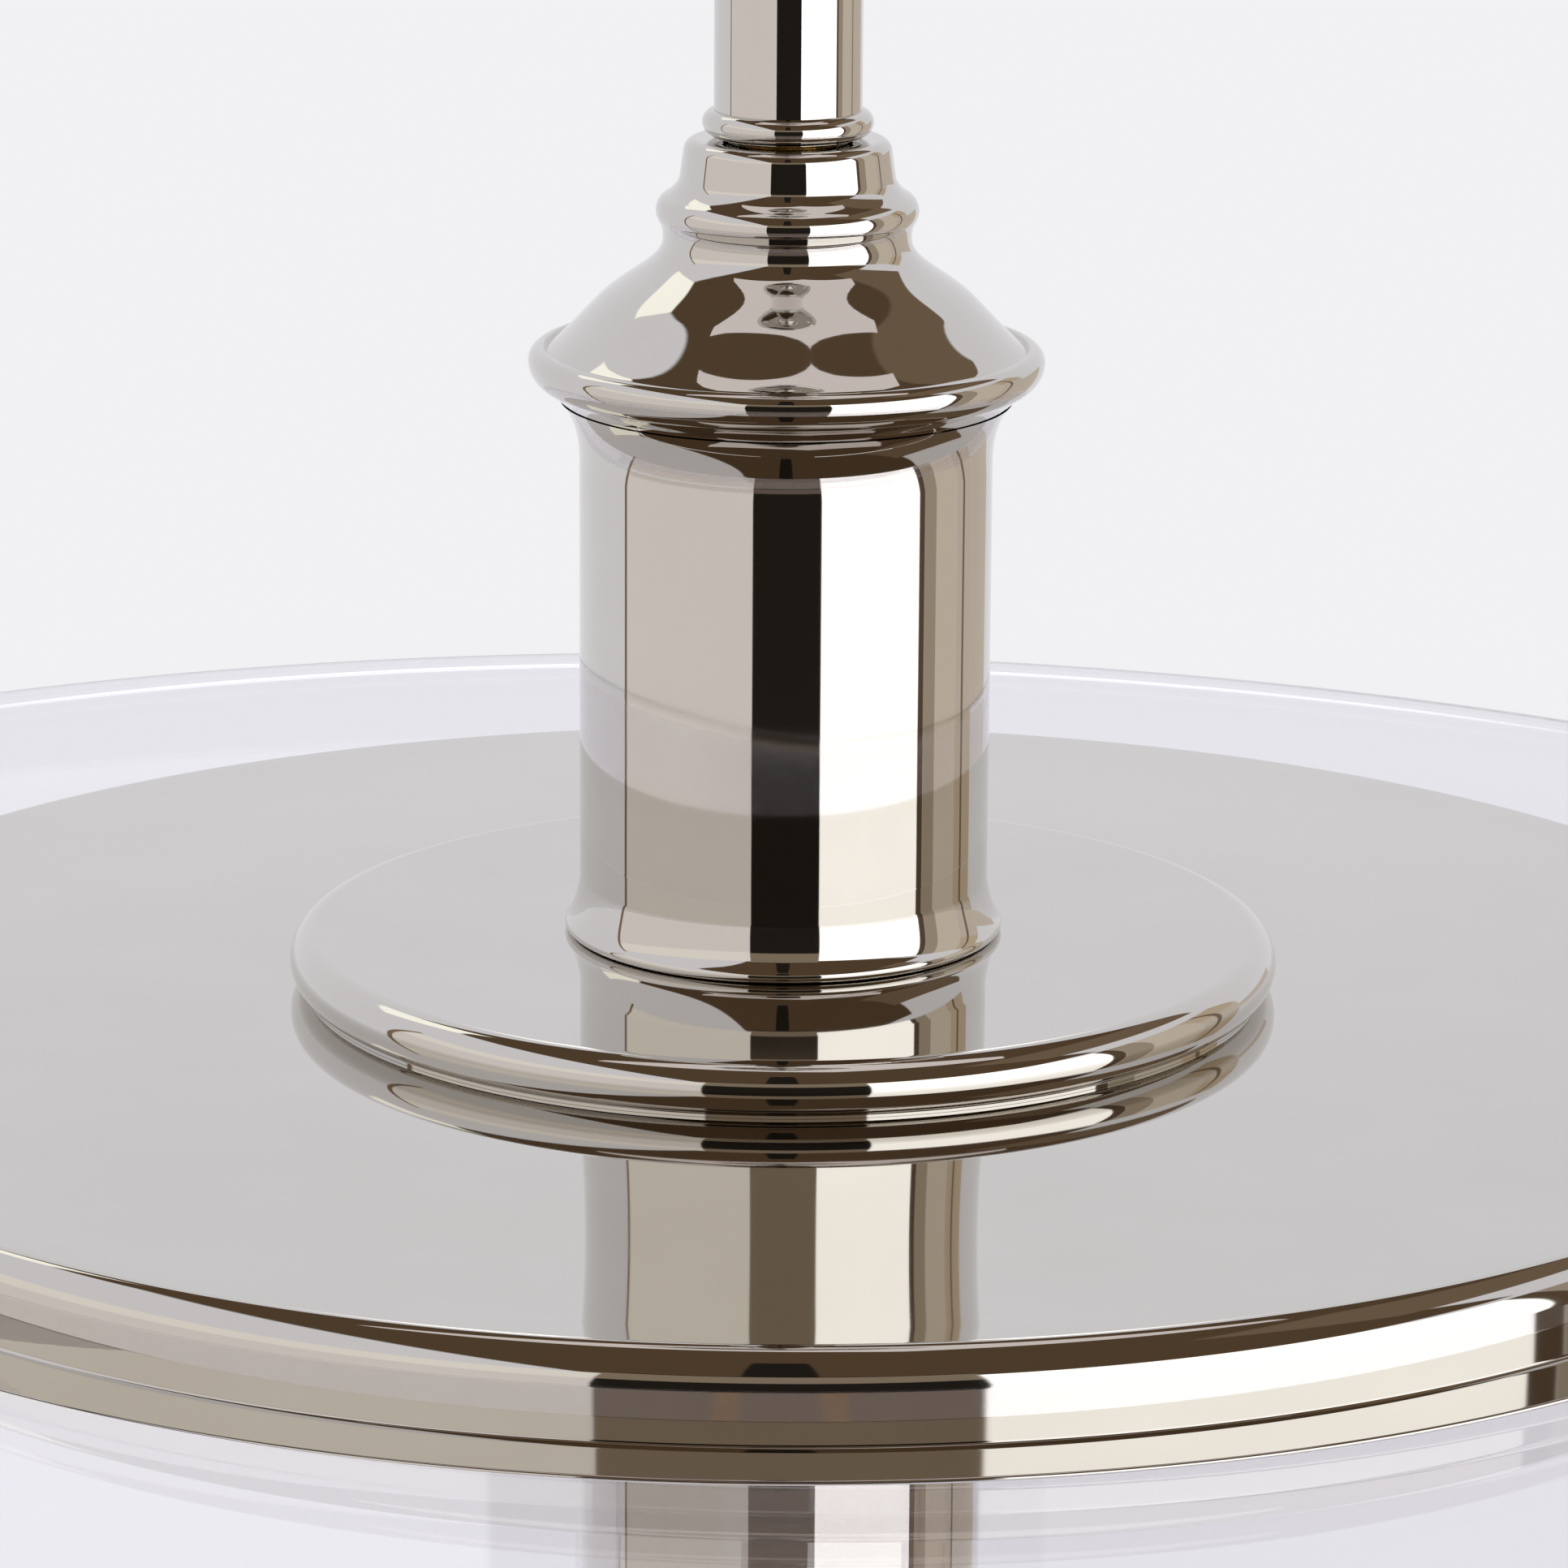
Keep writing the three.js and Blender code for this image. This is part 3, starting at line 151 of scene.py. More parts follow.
pitch = CAMERA_ELEVATION - math.atan((DISC_CENTRE_ROW - PHOTO_SIDE / 2) / FOCAL_PIXELS)
camera_data = bpy.data.cameras.new("camera")
camera_data.sensor_width = SENSOR_WIDTH
camera_data.lens = FOCAL_PIXELS / PHOTO_SIDE * SENSOR_WIDTH
camera = add_object("camera", camera_data)
camera.location = Vector((
    0,
    -CAMERA_DISTANCE * math.cos(CAMERA_ELEVATION),
    DISC + CAMERA_DISTANCE * math.sin(CAMERA_ELEVATION),
)) * MM
aim = Matrix.Rotation(math.pi / 2 - pitch, 3, "X") @ Matrix.Rotation(CAMERA_ROLL, 3, "Z")
camera.rotation_euler = aim.to_euler()
bpy.context.scene.camera = camera
bpy.context.scene.view_settings.view_transform = "Standard"
print(f"lens {camera_data.lens:.1f} mm, pitched down {math.degrees(pitch):.1f} degrees")

# %% [markdown]
# ## Outlines
# Nearly every piece was spun or turned on a lathe, so it is an outline swept round an axis. An outline
# is drawn with lines, arcs and curves. A line puts a support point close to each end, so that smooth
# shading stays flat along it and rolls over only in the last fraction of a millimetre.

# %% Outline
SUPPORT = 0.15
ARC_STEP = 5
CURVE_STEPS = 14
TINY = 1e-6


class Outline:
    """A path in the half plane of radius and height, in millimetres above a base."""

    def __init__(self, base, radius, height):
        self.base = base
        self.points = [Vector((radius, height))]

    def line(self, radius, height):
        start, end = self.points[-1], Vector((radius, height))
        run = end - start
        if run.length > 3 * SUPPORT:
            step = run.normalized() * SUPPORT
            self.points += [start + step, end - step]
        self.points.append(end)
        return self

    def arc(self, radius, height, size, start, end):
        steps = max(2, math.ceil(abs(end - start) / ARC_STEP))
        for i in range(steps + 1):
            angle = math.radians(start + (end - start) * i / steps)
            point = Vector((radius + size * math.cos(angle), height + size * math.sin(angle)))
            if (point - self.points[-1]).length > TINY:
                self.points.append(point)
        return self

    def curve(self, first, second, end):
        corners = [self.points[-1], Vector(first), Vector(second), Vector(end)]
        for i in range(1, CURVE_STEPS + 1):
            t = i / CURVE_STEPS
            weights = ((1 - t) ** 3, 3 * t * (1 - t) ** 2, 3 * t * t * (1 - t), t ** 3)
            self.points.append(sum((w * c for w, c in zip(weights, corners)), Vector((0, 0))))
        return self

    def close(self):
        first = self.points[0]
        self.line(*first)
        self.points.pop()
        return self


# %% [markdown]
# ## Turning
# An outline becomes a piece when its points are swept round the upright axis. A Screw modifier could do
# that, but rings that are built here share their seam and close on the axis with plain triangles. The
# faces are shaded smooth, except across corners that are sharper than a set angle.

# %% Finishing a mesh
SHARP = math.radians(35)
DOUBLES = 1e-7


def dressed(name, mesh, material):
    """Smooth faces with sharp corners kept, in one material, as an object at the origin."""
    mesh.shade_smooth()
    mesh.set_sharp_from_angle(angle=SHARP)
    mesh.materials.append(material)
    return add_object(name, mesh)


def finish_mesh(name, mesh, material):
    """A dressed piece whose double points are merged first, with its normals turned outwards."""
    shape = bmesh.new()
    shape.from_mesh(mesh)
    bmesh.ops.remove_doubles(shape, verts=shape.verts, dist=DOUBLES)
    bmesh.ops.recalc_face_normals(shape, faces=shape.faces)
    shape.to_mesh(mesh)
    shape.free()
    return dressed(name, mesh, material)


# %% Turning an outline
SIDES = 256


def turned_mesh(name, outline, sides=SIDES, closed=True):
    vertices, faces, rings = [], [], []
    turns = [(math.cos(a), math.sin(a)) for a in (2 * math.pi * j / sides for j in range(sides))]
    for radius, height in outline.points:
        z = (outline.base + height) * MM
        if radius < TINY:
            rings.append([len(vertices)] * sides)
            vertices.append((0, 0, z))
        else:
            rings.append(range(len(vertices), len(vertices) + sides))
            vertices += [(radius * MM * c, radius * MM * s, z) for c, s in turns]
    pairs = list(zip(rings, rings[1:]))
    if closed:
        pairs.append((rings[-1], rings[0]))
    for near, far in pairs:
        for j in range(sides):
            k = (j + 1) % sides
            face = list(dict.fromkeys((near[j], near[k], far[k], far[j])))
            if len(face) > 2:
                faces.append(face)
    mesh = bpy.data.meshes.new(name)
    mesh.from_pydata(vertices, [], faces)
    return mesh


def turned(name, outline, material, sides=SIDES, closed=True):
    return finish_mesh(name, turned_mesh(name, outline, sides, closed), material)


def band(base, inner, outer, low, high, chamfer):
    """The outline of a plain ring with its four corners broken."""
    outline = Outline(base, inner + chamfer, low)
    outline.line(outer - chamfer, low).line(outer, low + chamfer)
    outline.line(outer, high - chamfer).line(outer - chamfer, high)
    outline.line(inner + chamfer, high).line(inner, high - chamfer)
    outline.line(inner, low + chamfer)
    return outline.close()


# %% [markdown]
# ## Standing for a solid
# A dressed piece takes the place of one or more solids. It rides on the same body and hides them.

# %% Standing for a solid
def stands_for(piece, finish, *nodes):
    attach(piece, frame["nodes"][nodes[0]]["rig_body"])
    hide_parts(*nodes)
    print(piece.name, "stands for", ", ".join(nodes))
    return piece


# %% [markdown]
# ## Colours and shader nodes
# Colours are written as the sRGB hex values that a picture editor shows, and one function turns them
# into the linear values that the renderer works with. One more function adds a node to a tree.

# %% Colour and node helpers
def linear(hex_colour):
    channels = [int(hex_colour[i:i + 2], 16) / 255 for i in (1, 3, 5)]
    return [c / 12.92 if c <= 0.04045 else ((c + 0.055) / 1.055) ** 2.4 for c in channels] + [1]


def add(tree, kind, inputs=None, **settings):
    made = tree.nodes.new(kind)
    for name, value in settings.items():
        setattr(made, name, value)
    for name, value in (inputs or {}).items():
        if isinstance(value, bpy.types.NodeSocket):
            tree.links.new(value, made.inputs[name])
        else:
            made.inputs[name].default_value = value
    return made


def material_of(name, **values):
    """A material with its shader, the tree to add nodes to, and the piece's own coordinates."""
    material = bpy.data.materials.new(name)
    material.use_nodes = True
    tree = material.node_tree
    shader = tree.nodes["Principled BSDF"]
    for socket, value in values.items():
        shader.inputs[socket.replace("_", " ")].default_value = value
    place = add(tree, "ShaderNodeTexCoord").outputs["Object"]
    return material, tree, shader, place


def wire(tree, shader, **sources):
    """Leads each pattern to the shader's socket of that name."""
    for socket, source in sources.items():
        tree.links.new(source, shader.inputs[socket.replace("_", " ")])


def cycles_per_metre(millimetres):
    return 1 / (millimetres * MM)


# %% [markdown]
# ## Polished nickel
# The metal is nickel plate over brass, buffed to a mirror. Nickel is a little warmer and darker than
# chromium. Spun sheet is never quite flat, so a slow swell bends long reflections by a fraction of a
# degree, and the buffing wheel leaves the gloss very slightly cloudy.

# %% Polished nickel
SWELL_WIDTH = 45
SWELL_HEIGHT = 0.012
CLOUD_WIDTH = 18
BUFFED = (0.02, 0.045)


def polished_nickel():
    material, tree, shader, place = material_of("polished nickel plate", Metallic=1)
    swell = add(tree, "ShaderNodeTexNoise", {
        "Vector": place, "Scale": cycles_per_metre(SWELL_WIDTH), "Detail": 1})
    bump = add(tree, "ShaderNodeBump", {
        "Height": swell.outputs["Fac"], "Strength": 1, "Distance": SWELL_HEIGHT * MM})
    cloud = add(tree, "ShaderNodeTexNoise", {
        "Vector": place, "Scale": cycles_per_metre(CLOUD_WIDTH), "Detail": 3})
    tone = add(tree, "ShaderNodeMix", {
        0: cloud.outputs["Fac"], 6: linear("#D4D1CC"), 7: linear("#CECAC5")}, data_type="RGBA")
    gloss = add(tree, "ShaderNodeMapRange", {
        "Value": cloud.outputs["Fac"], "To Min": BUFFED[0], "To Max": BUFFED[1]})
    wire(tree, shader, Base_Color=tone.outputs[2], Roughness=gloss.outputs[0], Normal=bump.outputs[0])
    return material


nickel = polished_nickel()
print("made", nickel.name)

# %% [markdown]
# ## Clear glass
# The shade is blown soda glass: clear on its face, with a trace of cool grey through its thickness.
# Real refraction is used, because the wall has two true surfaces. Its slow unevenness is in the mesh,
# and only a faint cord-like streak is left to the bump.

# %% Clear glass
STREAK_WIDTH = 60
STREAK_SQUEEZE = 4
STREAK_HEIGHT = 0.01


def clear_glass(name, tint):
    material, tree, shader, place = material_of(
        name, Base_Color=linear(tint), Roughness=0.0, IOR=1.51, Transmission_Weight=1)
    squeezed = add(tree, "ShaderNodeMapping", {"Vector": place, "Scale": (1, 1, STREAK_SQUEEZE)})
    streak = add(tree, "ShaderNodeTexNoise", {
        "Vector": squeezed.outputs[0], "Scale": cycles_per_metre(STREAK_WIDTH), "Detail": 1})
    bump = add(tree, "ShaderNodeBump", {
        "Height": streak.outputs["Fac"], "Strength": 1, "Distance": STREAK_HEIGHT * MM})
    wire(tree, shader, Normal=bump.outputs[0])
    return material


shade_glass = clear_glass("blown soda glass", "#F8F7FA")
lamp_glass = clear_glass("thin lamp glass", "#FDFDFC")
print("made", shade_glass.name, "and", lamp_glass.name)

# %% [markdown]
# ## Working finishes
# Inside the light are plainer things: zinc-plated steel, drawn brass, glazed porcelain, silicone
# rubber, the black glass of the lamp's insulator, and the yellow phosphor of its light-giving rods. One
# recipe serves them all: a fine noise that moves tone, gloss and relief together, as wear and glaze do.

# %% Working finishes
def mottled(name, light, dark, grain, rough, bump_height, **values):
    """A finish whose tone and gloss drift between two values over a grain of that many millimetres."""
    material, tree, shader, place = material_of(name, **values)
    noise = add(tree, "ShaderNodeTexNoise", {
        "Vector": place, "Scale": cycles_per_metre(grain), "Detail": 5, "Roughness": 0.6})
    tone = add(tree, "ShaderNodeMix", {
        0: noise.outputs["Fac"], 6: linear(light), 7: linear(dark)}, data_type="RGBA")
    gloss = add(tree, "ShaderNodeMapRange", {
        "Value": noise.outputs["Fac"], "To Min": rough[0], "To Max": rough[1]})
    bump = add(tree, "ShaderNodeBump", {
        "Height": noise.outputs["Fac"], "Strength": 1, "Distance": bump_height * MM})
    wire(tree, shader, Base_Color=tone.outputs[2], Roughness=gloss.outputs[0], Normal=bump.outputs[0])
    return material


zinc = mottled("zinc-plated steel", "#C3C6C9", "#9FA4A8", 3, (0.25, 0.45), 0.01, Metallic=1)
brass = mottled("drawn brass", "#D2AE68", "#B8924C", 4, (0.18, 0.34), 0.006, Metallic=1)
porcelain = mottled("glazed porcelain", "#F3F0E8", "#EAE5DA", 6, (0.12, 0.25), 0.02, Coat_Weight=0.4)
rubber = mottled("silicone rubber", "#E6E6E2", "#D8D8D3", 5, (0.45, 0.6), 0.02)
black_glass = mottled("fused black glass", "#17161A", "#0C0B0E", 2, (0.08, 0.25), 0.02)
phosphor = mottled("phosphor rods", "#F6C869", "#E9AE45", 1.5, (0.5, 0.7), 0.03,
                   Emission_Color=linear("#FFC27A"), Emission_Strength=1.4)
print("made six working finishes")

# %% [markdown]
# ## Braided flex
# The flex is three cores under a woven black sleeve. Two sets of threads cross at an angle, so two wave
# patterns along the cord's own length and girth are multiplied into a diamond weave. Real threads are
# far finer than a pixel, so the diamonds are drawn as coarse as they need to be to show.

# %% Braided flex
DIAMOND_SPACING = 7.54
BRAID_LEAN = math.radians(35)
BRAID_RELIEF = 0.15
WAVE_NODE_CYCLE = 2 * math.pi / 20


def braided_flex():
    material, tree, shader, _ = material_of("braided flex sleeve", Roughness=0.7, Sheen_Weight=0.3)
    place = add(tree, "ShaderNodeUVMap", uv_map="weave").outputs["UV"]
    waves = []
    for lean in (-BRAID_LEAN, BRAID_LEAN):
        slant = add(tree, "ShaderNodeMapping", {"Vector": place, "Rotation": (0, 0, lean)})
        waves.append(add(tree, "ShaderNodeTexWave", {
            "Vector": slant.outputs[0], "Scale": cycles_per_metre(DIAMOND_SPACING) * WAVE_NODE_CYCLE}))
    weave = add(tree, "ShaderNodeMath", {
        0: waves[0].outputs["Fac"], 1: waves[1].outputs["Fac"]}, operation="MULTIPLY")
    tone = add(tree, "ShaderNodeMix", {
        0: weave.outputs[0], 6: linear("#1C1B1A"), 7: linear("#3A3836")}, data_type="RGBA")
    bump = add(tree, "ShaderNodeBump", {
        "Height": weave.outputs[0], "Strength": 1, "Distance": BRAID_RELIEF * MM})
    wire(tree, shader, Base_Color=tone.outputs[2], Normal=bump.outputs[0])
    return material


flex_sleeve = braided_flex()
print("made", flex_sleeve.name)

# %% [markdown]
# ## Shade cap
# The cap is one spun disc. Its top falls a little from a level middle, turns over a tight edge into a
# softer roll and drops in a nearly straight band. The foot of the band turns out into a thin, almost
# flat brim that lies over the glass. One outline gives all of it, with the sheet's thickness inside.

# %% Shade cap
SHEET = 1.5
CAP_CROWN = 58
CAP_FLAT = 116.6
EDGE_ROUND = 2
EDGE_TURN = 53
CAP_ROLL = 5.1
ROLL_END = 10
BAND_FOOT = (119.8, -8.9)
FOOT_PULL = (119.82, -9.1)
BRIM_PULL = (120.2, -9.2)
BRIM_START = (120.5, -9.2)
BRIM_EDGE = 0.5
BRIM_TOP = -9.25
SLEEVE_PLAY = 0.6

cap_lip = reach("shade_cap")
sleeve_hole = reach("lampholder_sleeve") + SLEEVE_PLAY
crown_third = (CAP_FLAT - CAP_CROWN) / 3
roll_start = math.radians(EDGE_TURN)
set_back = EDGE_ROUND - CAP_ROLL
roll_centre = (CAP_FLAT + set_back * math.cos(roll_start), set_back * math.sin(roll_start) - EDGE_ROUND)
brim_round = BRIM_EDGE / 2
band_bore = BAND_FOOT[0] - SHEET
cap = Outline(DISC, sleeve_hole, CAP_RISE).line(CAP_CROWN, CAP_RISE)
cap.curve((CAP_CROWN + crown_third, CAP_RISE), (CAP_FLAT - crown_third, 0), (CAP_FLAT, 0))
cap.arc(CAP_FLAT, -EDGE_ROUND, EDGE_ROUND, 90, EDGE_TURN)
cap.arc(*roll_centre, CAP_ROLL, EDGE_TURN, ROLL_END).line(*BAND_FOOT)
cap.curve(FOOT_PULL, BRIM_PULL, BRIM_START).line(cap_lip - brim_round, BRIM_TOP)
cap.arc(cap_lip - brim_round, BRIM_TOP - brim_round, brim_round, 90, -90)
cap.line(band_bore, BRIM_TOP - BRIM_EDGE).line(band_bore, -CAP_ROLL)
cap.line(CAP_FLAT, -SHEET).line(reach("glass_spacer") + SHEET, CAP_RISE - SHEET)
cap.line(sleeve_hole, CAP_RISE - SHEET).close()
shade_cap = turned("shade_cap_spun", cap, nickel, sides=384)
stands_for(shade_cap, "polished_nickel", "shade_cap")

# %% [markdown]
# ## Step flange
# The flange is a plate turned from solid bar. Its edge is nearly half round, and drops straight to the
# disc from where it starts to tuck under, so that only a fine line parts it from its own reflection.

# %% Step flange
FLANGE_GAP = 0.02
FLANGE_LOW = CAP_RISE + FLANGE_GAP
FLANGE_TOP = 7.2
FLANGE_TUCK = -64

flange_half = (FLANGE_TOP - FLANGE_LOW) / 2
flange_edge = reach("step_flange") - flange_half
tuck = math.radians(FLANGE_TUCK)
flange_foot = flange_edge + flange_half * math.cos(tuck)
flange = Outline(DISC, sleeve_hole, FLANGE_LOW).line(flange_foot, FLANGE_LOW)
flange.line(flange_foot, FLANGE_LOW + flange_half + flange_half * math.sin(tuck))
flange.arc(flange_edge, FLANGE_LOW + flange_half, flange_half, FLANGE_TUCK, 90)
flange.line(sleeve_hole, FLANGE_TOP).close()
step_flange = turned("step_flange_turned", flange, nickel, sides=320)
stands_for(step_flange, "polished_nickel", "step_flange")

# %% [markdown]
# ## Neck cup
# A straight drawn tube hides the wiring. Its foot swells into a small bead on the flange, and its
# top flares to meet the neck cap. A bevelled cylinder would do for the wall, but one outline keeps the
# bead and the flare in a single smooth line.

# %% Neck cup
CUP_RADIUS = 22
CUP_WALL = 1.2
CUP_GAP = 0.1
CUP_SEAM = (24.05, 65.3)
CUP_FLARE = 58.9
CUP_SWELL = 13.1
FOOT_BEAD = (22.85, 7.97)
FOOT_ROUND = 0.75
BEAD_TO_WALL = ((22.77, 9.2), (22.2, 11.0), (CUP_RADIUS, CUP_SWELL))
WALL_TO_SEAM = ((CUP_RADIUS, 61.73), (22.84, 64.0), CUP_SEAM)

cup_bore = CUP_RADIUS - CUP_WALL
cup = Outline(DISC, cup_bore, FLANGE_TOP + CUP_GAP)
cup.arc(*FOOT_BEAD, FOOT_ROUND, -100, 42).curve(*BEAD_TO_WALL)
cup.line(CUP_RADIUS, CUP_FLARE).curve(*WALL_TO_SEAM)
cup.line(CUP_SEAM[0] - CUP_WALL, CUP_SEAM[1]).line(cup_bore, CUP_FLARE).close()
neck_cup = turned("neck_cup_drawn", cup, nickel)
stands_for(neck_cup, "polished_nickel", "neck_cup")

# %% [markdown]
# ## Neck cap
# The neck cap is the showpiece of the turning: a small drum, a bead, a waist, a bell that sweeps out
# to a shallow valley, and a rolled rim that overhangs the cup. It is hollow, for the nut inside. Arcs
# give the rounds and curves the sweeps between them, because polished metal shows every kink.

# %% Neck cap
NECK_TOP = 93.19
NECK_BORE = 5.3
DRUM_TOP = 11.02
DRUM_ROUND = 1.34
DRUM_FOOT = (11.4, 89.2)
NECK_BEAD = (11.96, 85.53)
NECK_BEAD_ROUND = 1.956
WAIST = (13.157, 82.618)
BELL_MIDDLE = (19.363, 76.638)
VALLEY = (25.588, 70.641)
RIM_UPPER = (25.9, 69.49)
RIM_UPPER_ROUND = 1.519
RIM_LOWER = (24.494, 69.49)
RIM_LOWER_ROUND = 2.925
NECK_SEAM = (24.086, 65.5)
DRUM_TO_BEAD = ((11.5, 88.3), (12.42, 87.52), (12.938, 87.224))
BEAD_TO_WAIST = ((13.3, 83.95), (WAIST[0], 83.3), WAIST)
WAIST_TO_BELL = ((WAIST[0], 80.26), (16.58, 79.01), BELL_MIDDLE)
BELL_TO_VALLEY = ((20.93, 75.3), (24.24, 71.28), VALLEY)
RIM_TO_SEAM = ((25.25, 66.58), (24.41, 65.88), NECK_SEAM)
NECK_HOLLOW = ((21, NECK_SEAM[1]), (21, 67.5), (9.6, 80), (9.6, 88.9), (NECK_BORE, 88.9))

neck = Outline(DISC, NECK_BORE, NECK_TOP).line(DRUM_TOP - DRUM_ROUND, NECK_TOP)
neck.arc(DRUM_TOP - DRUM_ROUND, NECK_TOP - DRUM_ROUND, DRUM_ROUND, 90, 4).line(*DRUM_FOOT)
neck.curve(*DRUM_TO_BEAD).arc(*NECK_BEAD, NECK_BEAD_ROUND, 60, -30)
neck.curve(*BEAD_TO_WAIST).curve(*WAIST_TO_BELL).curve(*BELL_TO_VALLEY)
neck.arc(*RIM_UPPER, RIM_UPPER_ROUND, 95, 0).arc(*RIM_LOWER, RIM_LOWER_ROUND, 0, -62)
neck.curve(*RIM_TO_SEAM)
for point in NECK_HOLLOW:
    neck.line(*point)
neck_cap = turned("neck_cap_turned", neck.close(), nickel)
stands_for(neck_cap, "polished_nickel", "neck_cap")

# %% [markdown]
# ## Stem and its collars
# The stem is a plain drawn tube. A half-round bead hides each of its ends. Both are turned like the
# rest: a cylinder from the Add menu would have no wall and no broken edges.

# %% Stem and its collars
STEM_RADIUS = 7.82
STEM_WALL = 1
COLLAR_RADIUS = 9.05
COLLAR_PLAY = 0.1
stem = band(0, STEM_RADIUS - STEM_WALL, STEM_RADIUS, bottom("stem_tube"), top("stem_tube"), chamfer=0.2)
stands_for(turned("stem_tube_drawn", stem, nickel), "polished_nickel", "stem_tube")


def collar(node_name):
    low, high = bottom(node_name), top(node_name)
    bore = STEM_RADIUS + COLLAR_PLAY
    half = (high - low) / 2
    outline = Outline((low + high) / 2, bore, -half).line(COLLAR_RADIUS - half, -half)
    outline.arc(COLLAR_RADIUS - half, 0, half, -90, 90).line(bore, half).close()
    return turned(node_name + "_turned", outline, nickel)


for node_name in ("stem_top_collar", "stem_lower_collar"):
    stands_for(collar(node_name), "polished_nickel", node_name)

# %% [markdown]
# ## Canopy
# At the ceiling a spun canopy repeats the shade cap: a lip, a cove, a rounded rim, a flat face and one
# raised step round the swivel. The outline runs along the outside from the middle to the lip, and comes
# back along the inside of the sheet.

# %% Canopy
CANOPY_SHEET = 1.2
CANOPY_DISC = 57
CANOPY_FACE = -27
CANOPY_COVE = -9
CANOPY_LIP_EDGE = 1.4
CANOPY_ROUND = 4
CANOPY_STEP = 24
STEP_ROUND = 2.5
STEP_FILLET = 0.8
COVE_OUTSIDE = ((CANOPY_DISC, -4), (59.5, -CANOPY_LIP_EDGE))
COVE_INSIDE = ((58, -0.2), (CANOPY_DISC - CANOPY_SHEET, -3))

lip_round = CANOPY_LIP_EDGE / 2
lip_centre = reach("canopy") - lip_round
step_face = bottom("canopy")
disc_bore, step_bore = CANOPY_DISC - CANOPY_SHEET, CANOPY_STEP - CANOPY_SHEET
canopy = Outline(0, NECK_BORE, step_face).line(CANOPY_STEP - STEP_ROUND, step_face)
canopy.arc(CANOPY_STEP - STEP_ROUND, step_face + STEP_ROUND, STEP_ROUND, -90, 0)
canopy.line(CANOPY_STEP, CANOPY_FACE + STEP_FILLET)
canopy.arc(CANOPY_STEP + STEP_FILLET, CANOPY_FACE + STEP_FILLET, STEP_FILLET, 180, 270)
canopy.line(CANOPY_DISC - CANOPY_ROUND, CANOPY_FACE)
canopy.arc(CANOPY_DISC - CANOPY_ROUND, CANOPY_FACE + CANOPY_ROUND, CANOPY_ROUND, -90, 0)
canopy.line(CANOPY_DISC, CANOPY_COVE).curve(*COVE_OUTSIDE, (lip_centre, -CANOPY_LIP_EDGE))
canopy.arc(lip_centre, -lip_round, lip_round, -90, 90).line(reach("canopy") - CANOPY_SHEET, 0)
canopy.curve(*COVE_INSIDE, (disc_bore, CANOPY_COVE)).line(disc_bore, CANOPY_FACE + CANOPY_ROUND)
canopy.line(CANOPY_DISC - CANOPY_ROUND, CANOPY_FACE + CANOPY_SHEET)
canopy.line(step_bore, CANOPY_FACE + CANOPY_SHEET).line(step_bore, step_face + CANOPY_SHEET)
canopy.line(NECK_BORE, step_face + CANOPY_SHEET).close()
stands_for(turned("canopy_spun", canopy, nickel), "polished_nickel", "canopy")

# %% [markdown]
# ## Ball nuts
# Two ball nuts hold the canopy on its studs. Each is turned in one piece: a ball that runs up into a
# short collar. Its outline is swept about the middle of the light, where it is easy to draw, and the
# finished mesh is moved to its stud.

# %% Ball nuts
BALL_END = 43
BALL_COLLAR = 4
BALL_COLLAR_EDGE = 0.3


def moved(piece, x, y, z):
    piece.data.transform(Matrix.Translation(Vector((x, y, z)) * MM))
    return piece


def ball_nut(node_name):
    low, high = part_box(node_name)
    ball = (high.x - low.x) / 2 / MM
    foot, head = bottom(node_name), top(node_name)
    outline = Outline(0, 0, foot).arc(0, foot + ball, ball, -90, BALL_END)
    outline.line(BALL_COLLAR, head - BALL_COLLAR_EDGE).line(BALL_COLLAR - BALL_COLLAR_EDGE, head)
    outline.line(0, head)
    piece = turned(node_name + "_turned", outline, nickel, sides=64, closed=False)
    return moved(piece, (low.x + high.x) / 2 / MM, 0, 0)


for node_name in ("canopy_ball_nut_a", "canopy_ball_nut_b"):
    stands_for(ball_nut(node_name), "polished_nickel", node_name)

# %% [markdown]
# ## Swivel
# Two yokes grip a small ring on four screws, so the stem can lean both ways and hang plumb from a
# sloping ceiling. A yoke is a turned boss with two ears; the boss is swept and the ears are extruded.

# %% Swivel ears
EAR_WIDTH = 8
EAR_THICKNESS = 3.2
EAR_INNER = 10.4
EAR_STEPS = 24
EAR_BEVEL = 0.4
EAR_CORNER = math.radians(40)
PLATE = 4
PLATE_DROP = 10.5


def ear_mesh(side):
    """An upright tab with a round lower end, its pivot at the origin, standing on the X axis."""
    half = EAR_WIDTH / 2
    angles = [math.pi + math.pi * i / EAR_STEPS for i in range(EAR_STEPS + 1)]
    outline = [(half * math.cos(a), half * math.sin(a)) for a in angles]
    outline += [(half, PLATE_DROP + PLATE / 2), (-half, PLATE_DROP + PLATE / 2)]
    shape = bmesh.new()
    near = EAR_INNER * side
    corners = [shape.verts.new(Vector((near, y, z)) * MM) for y, z in outline]
    face = shape.faces.new(corners)
    grown = bmesh.ops.extrude_face_region(shape, geom=[face])["geom"]
    far = [v for v in grown if isinstance(v, bmesh.types.BMVert)]
    bmesh.ops.translate(shape, verts=far, vec=Vector((EAR_THICKNESS * side, 0, 0)) * MM)
    bmesh.ops.recalc_face_normals(shape, faces=shape.faces)
    edges = [e for e in shape.edges if e.calc_face_angle(0) > EAR_CORNER]
    bmesh.ops.bevel(shape, geom=edges, offset=EAR_BEVEL * MM, segments=3, affect="EDGES", profile=0.5)
    mesh = bpy.data.meshes.new("ear")
    shape.to_mesh(mesh)
    shape.free()
    return mesh


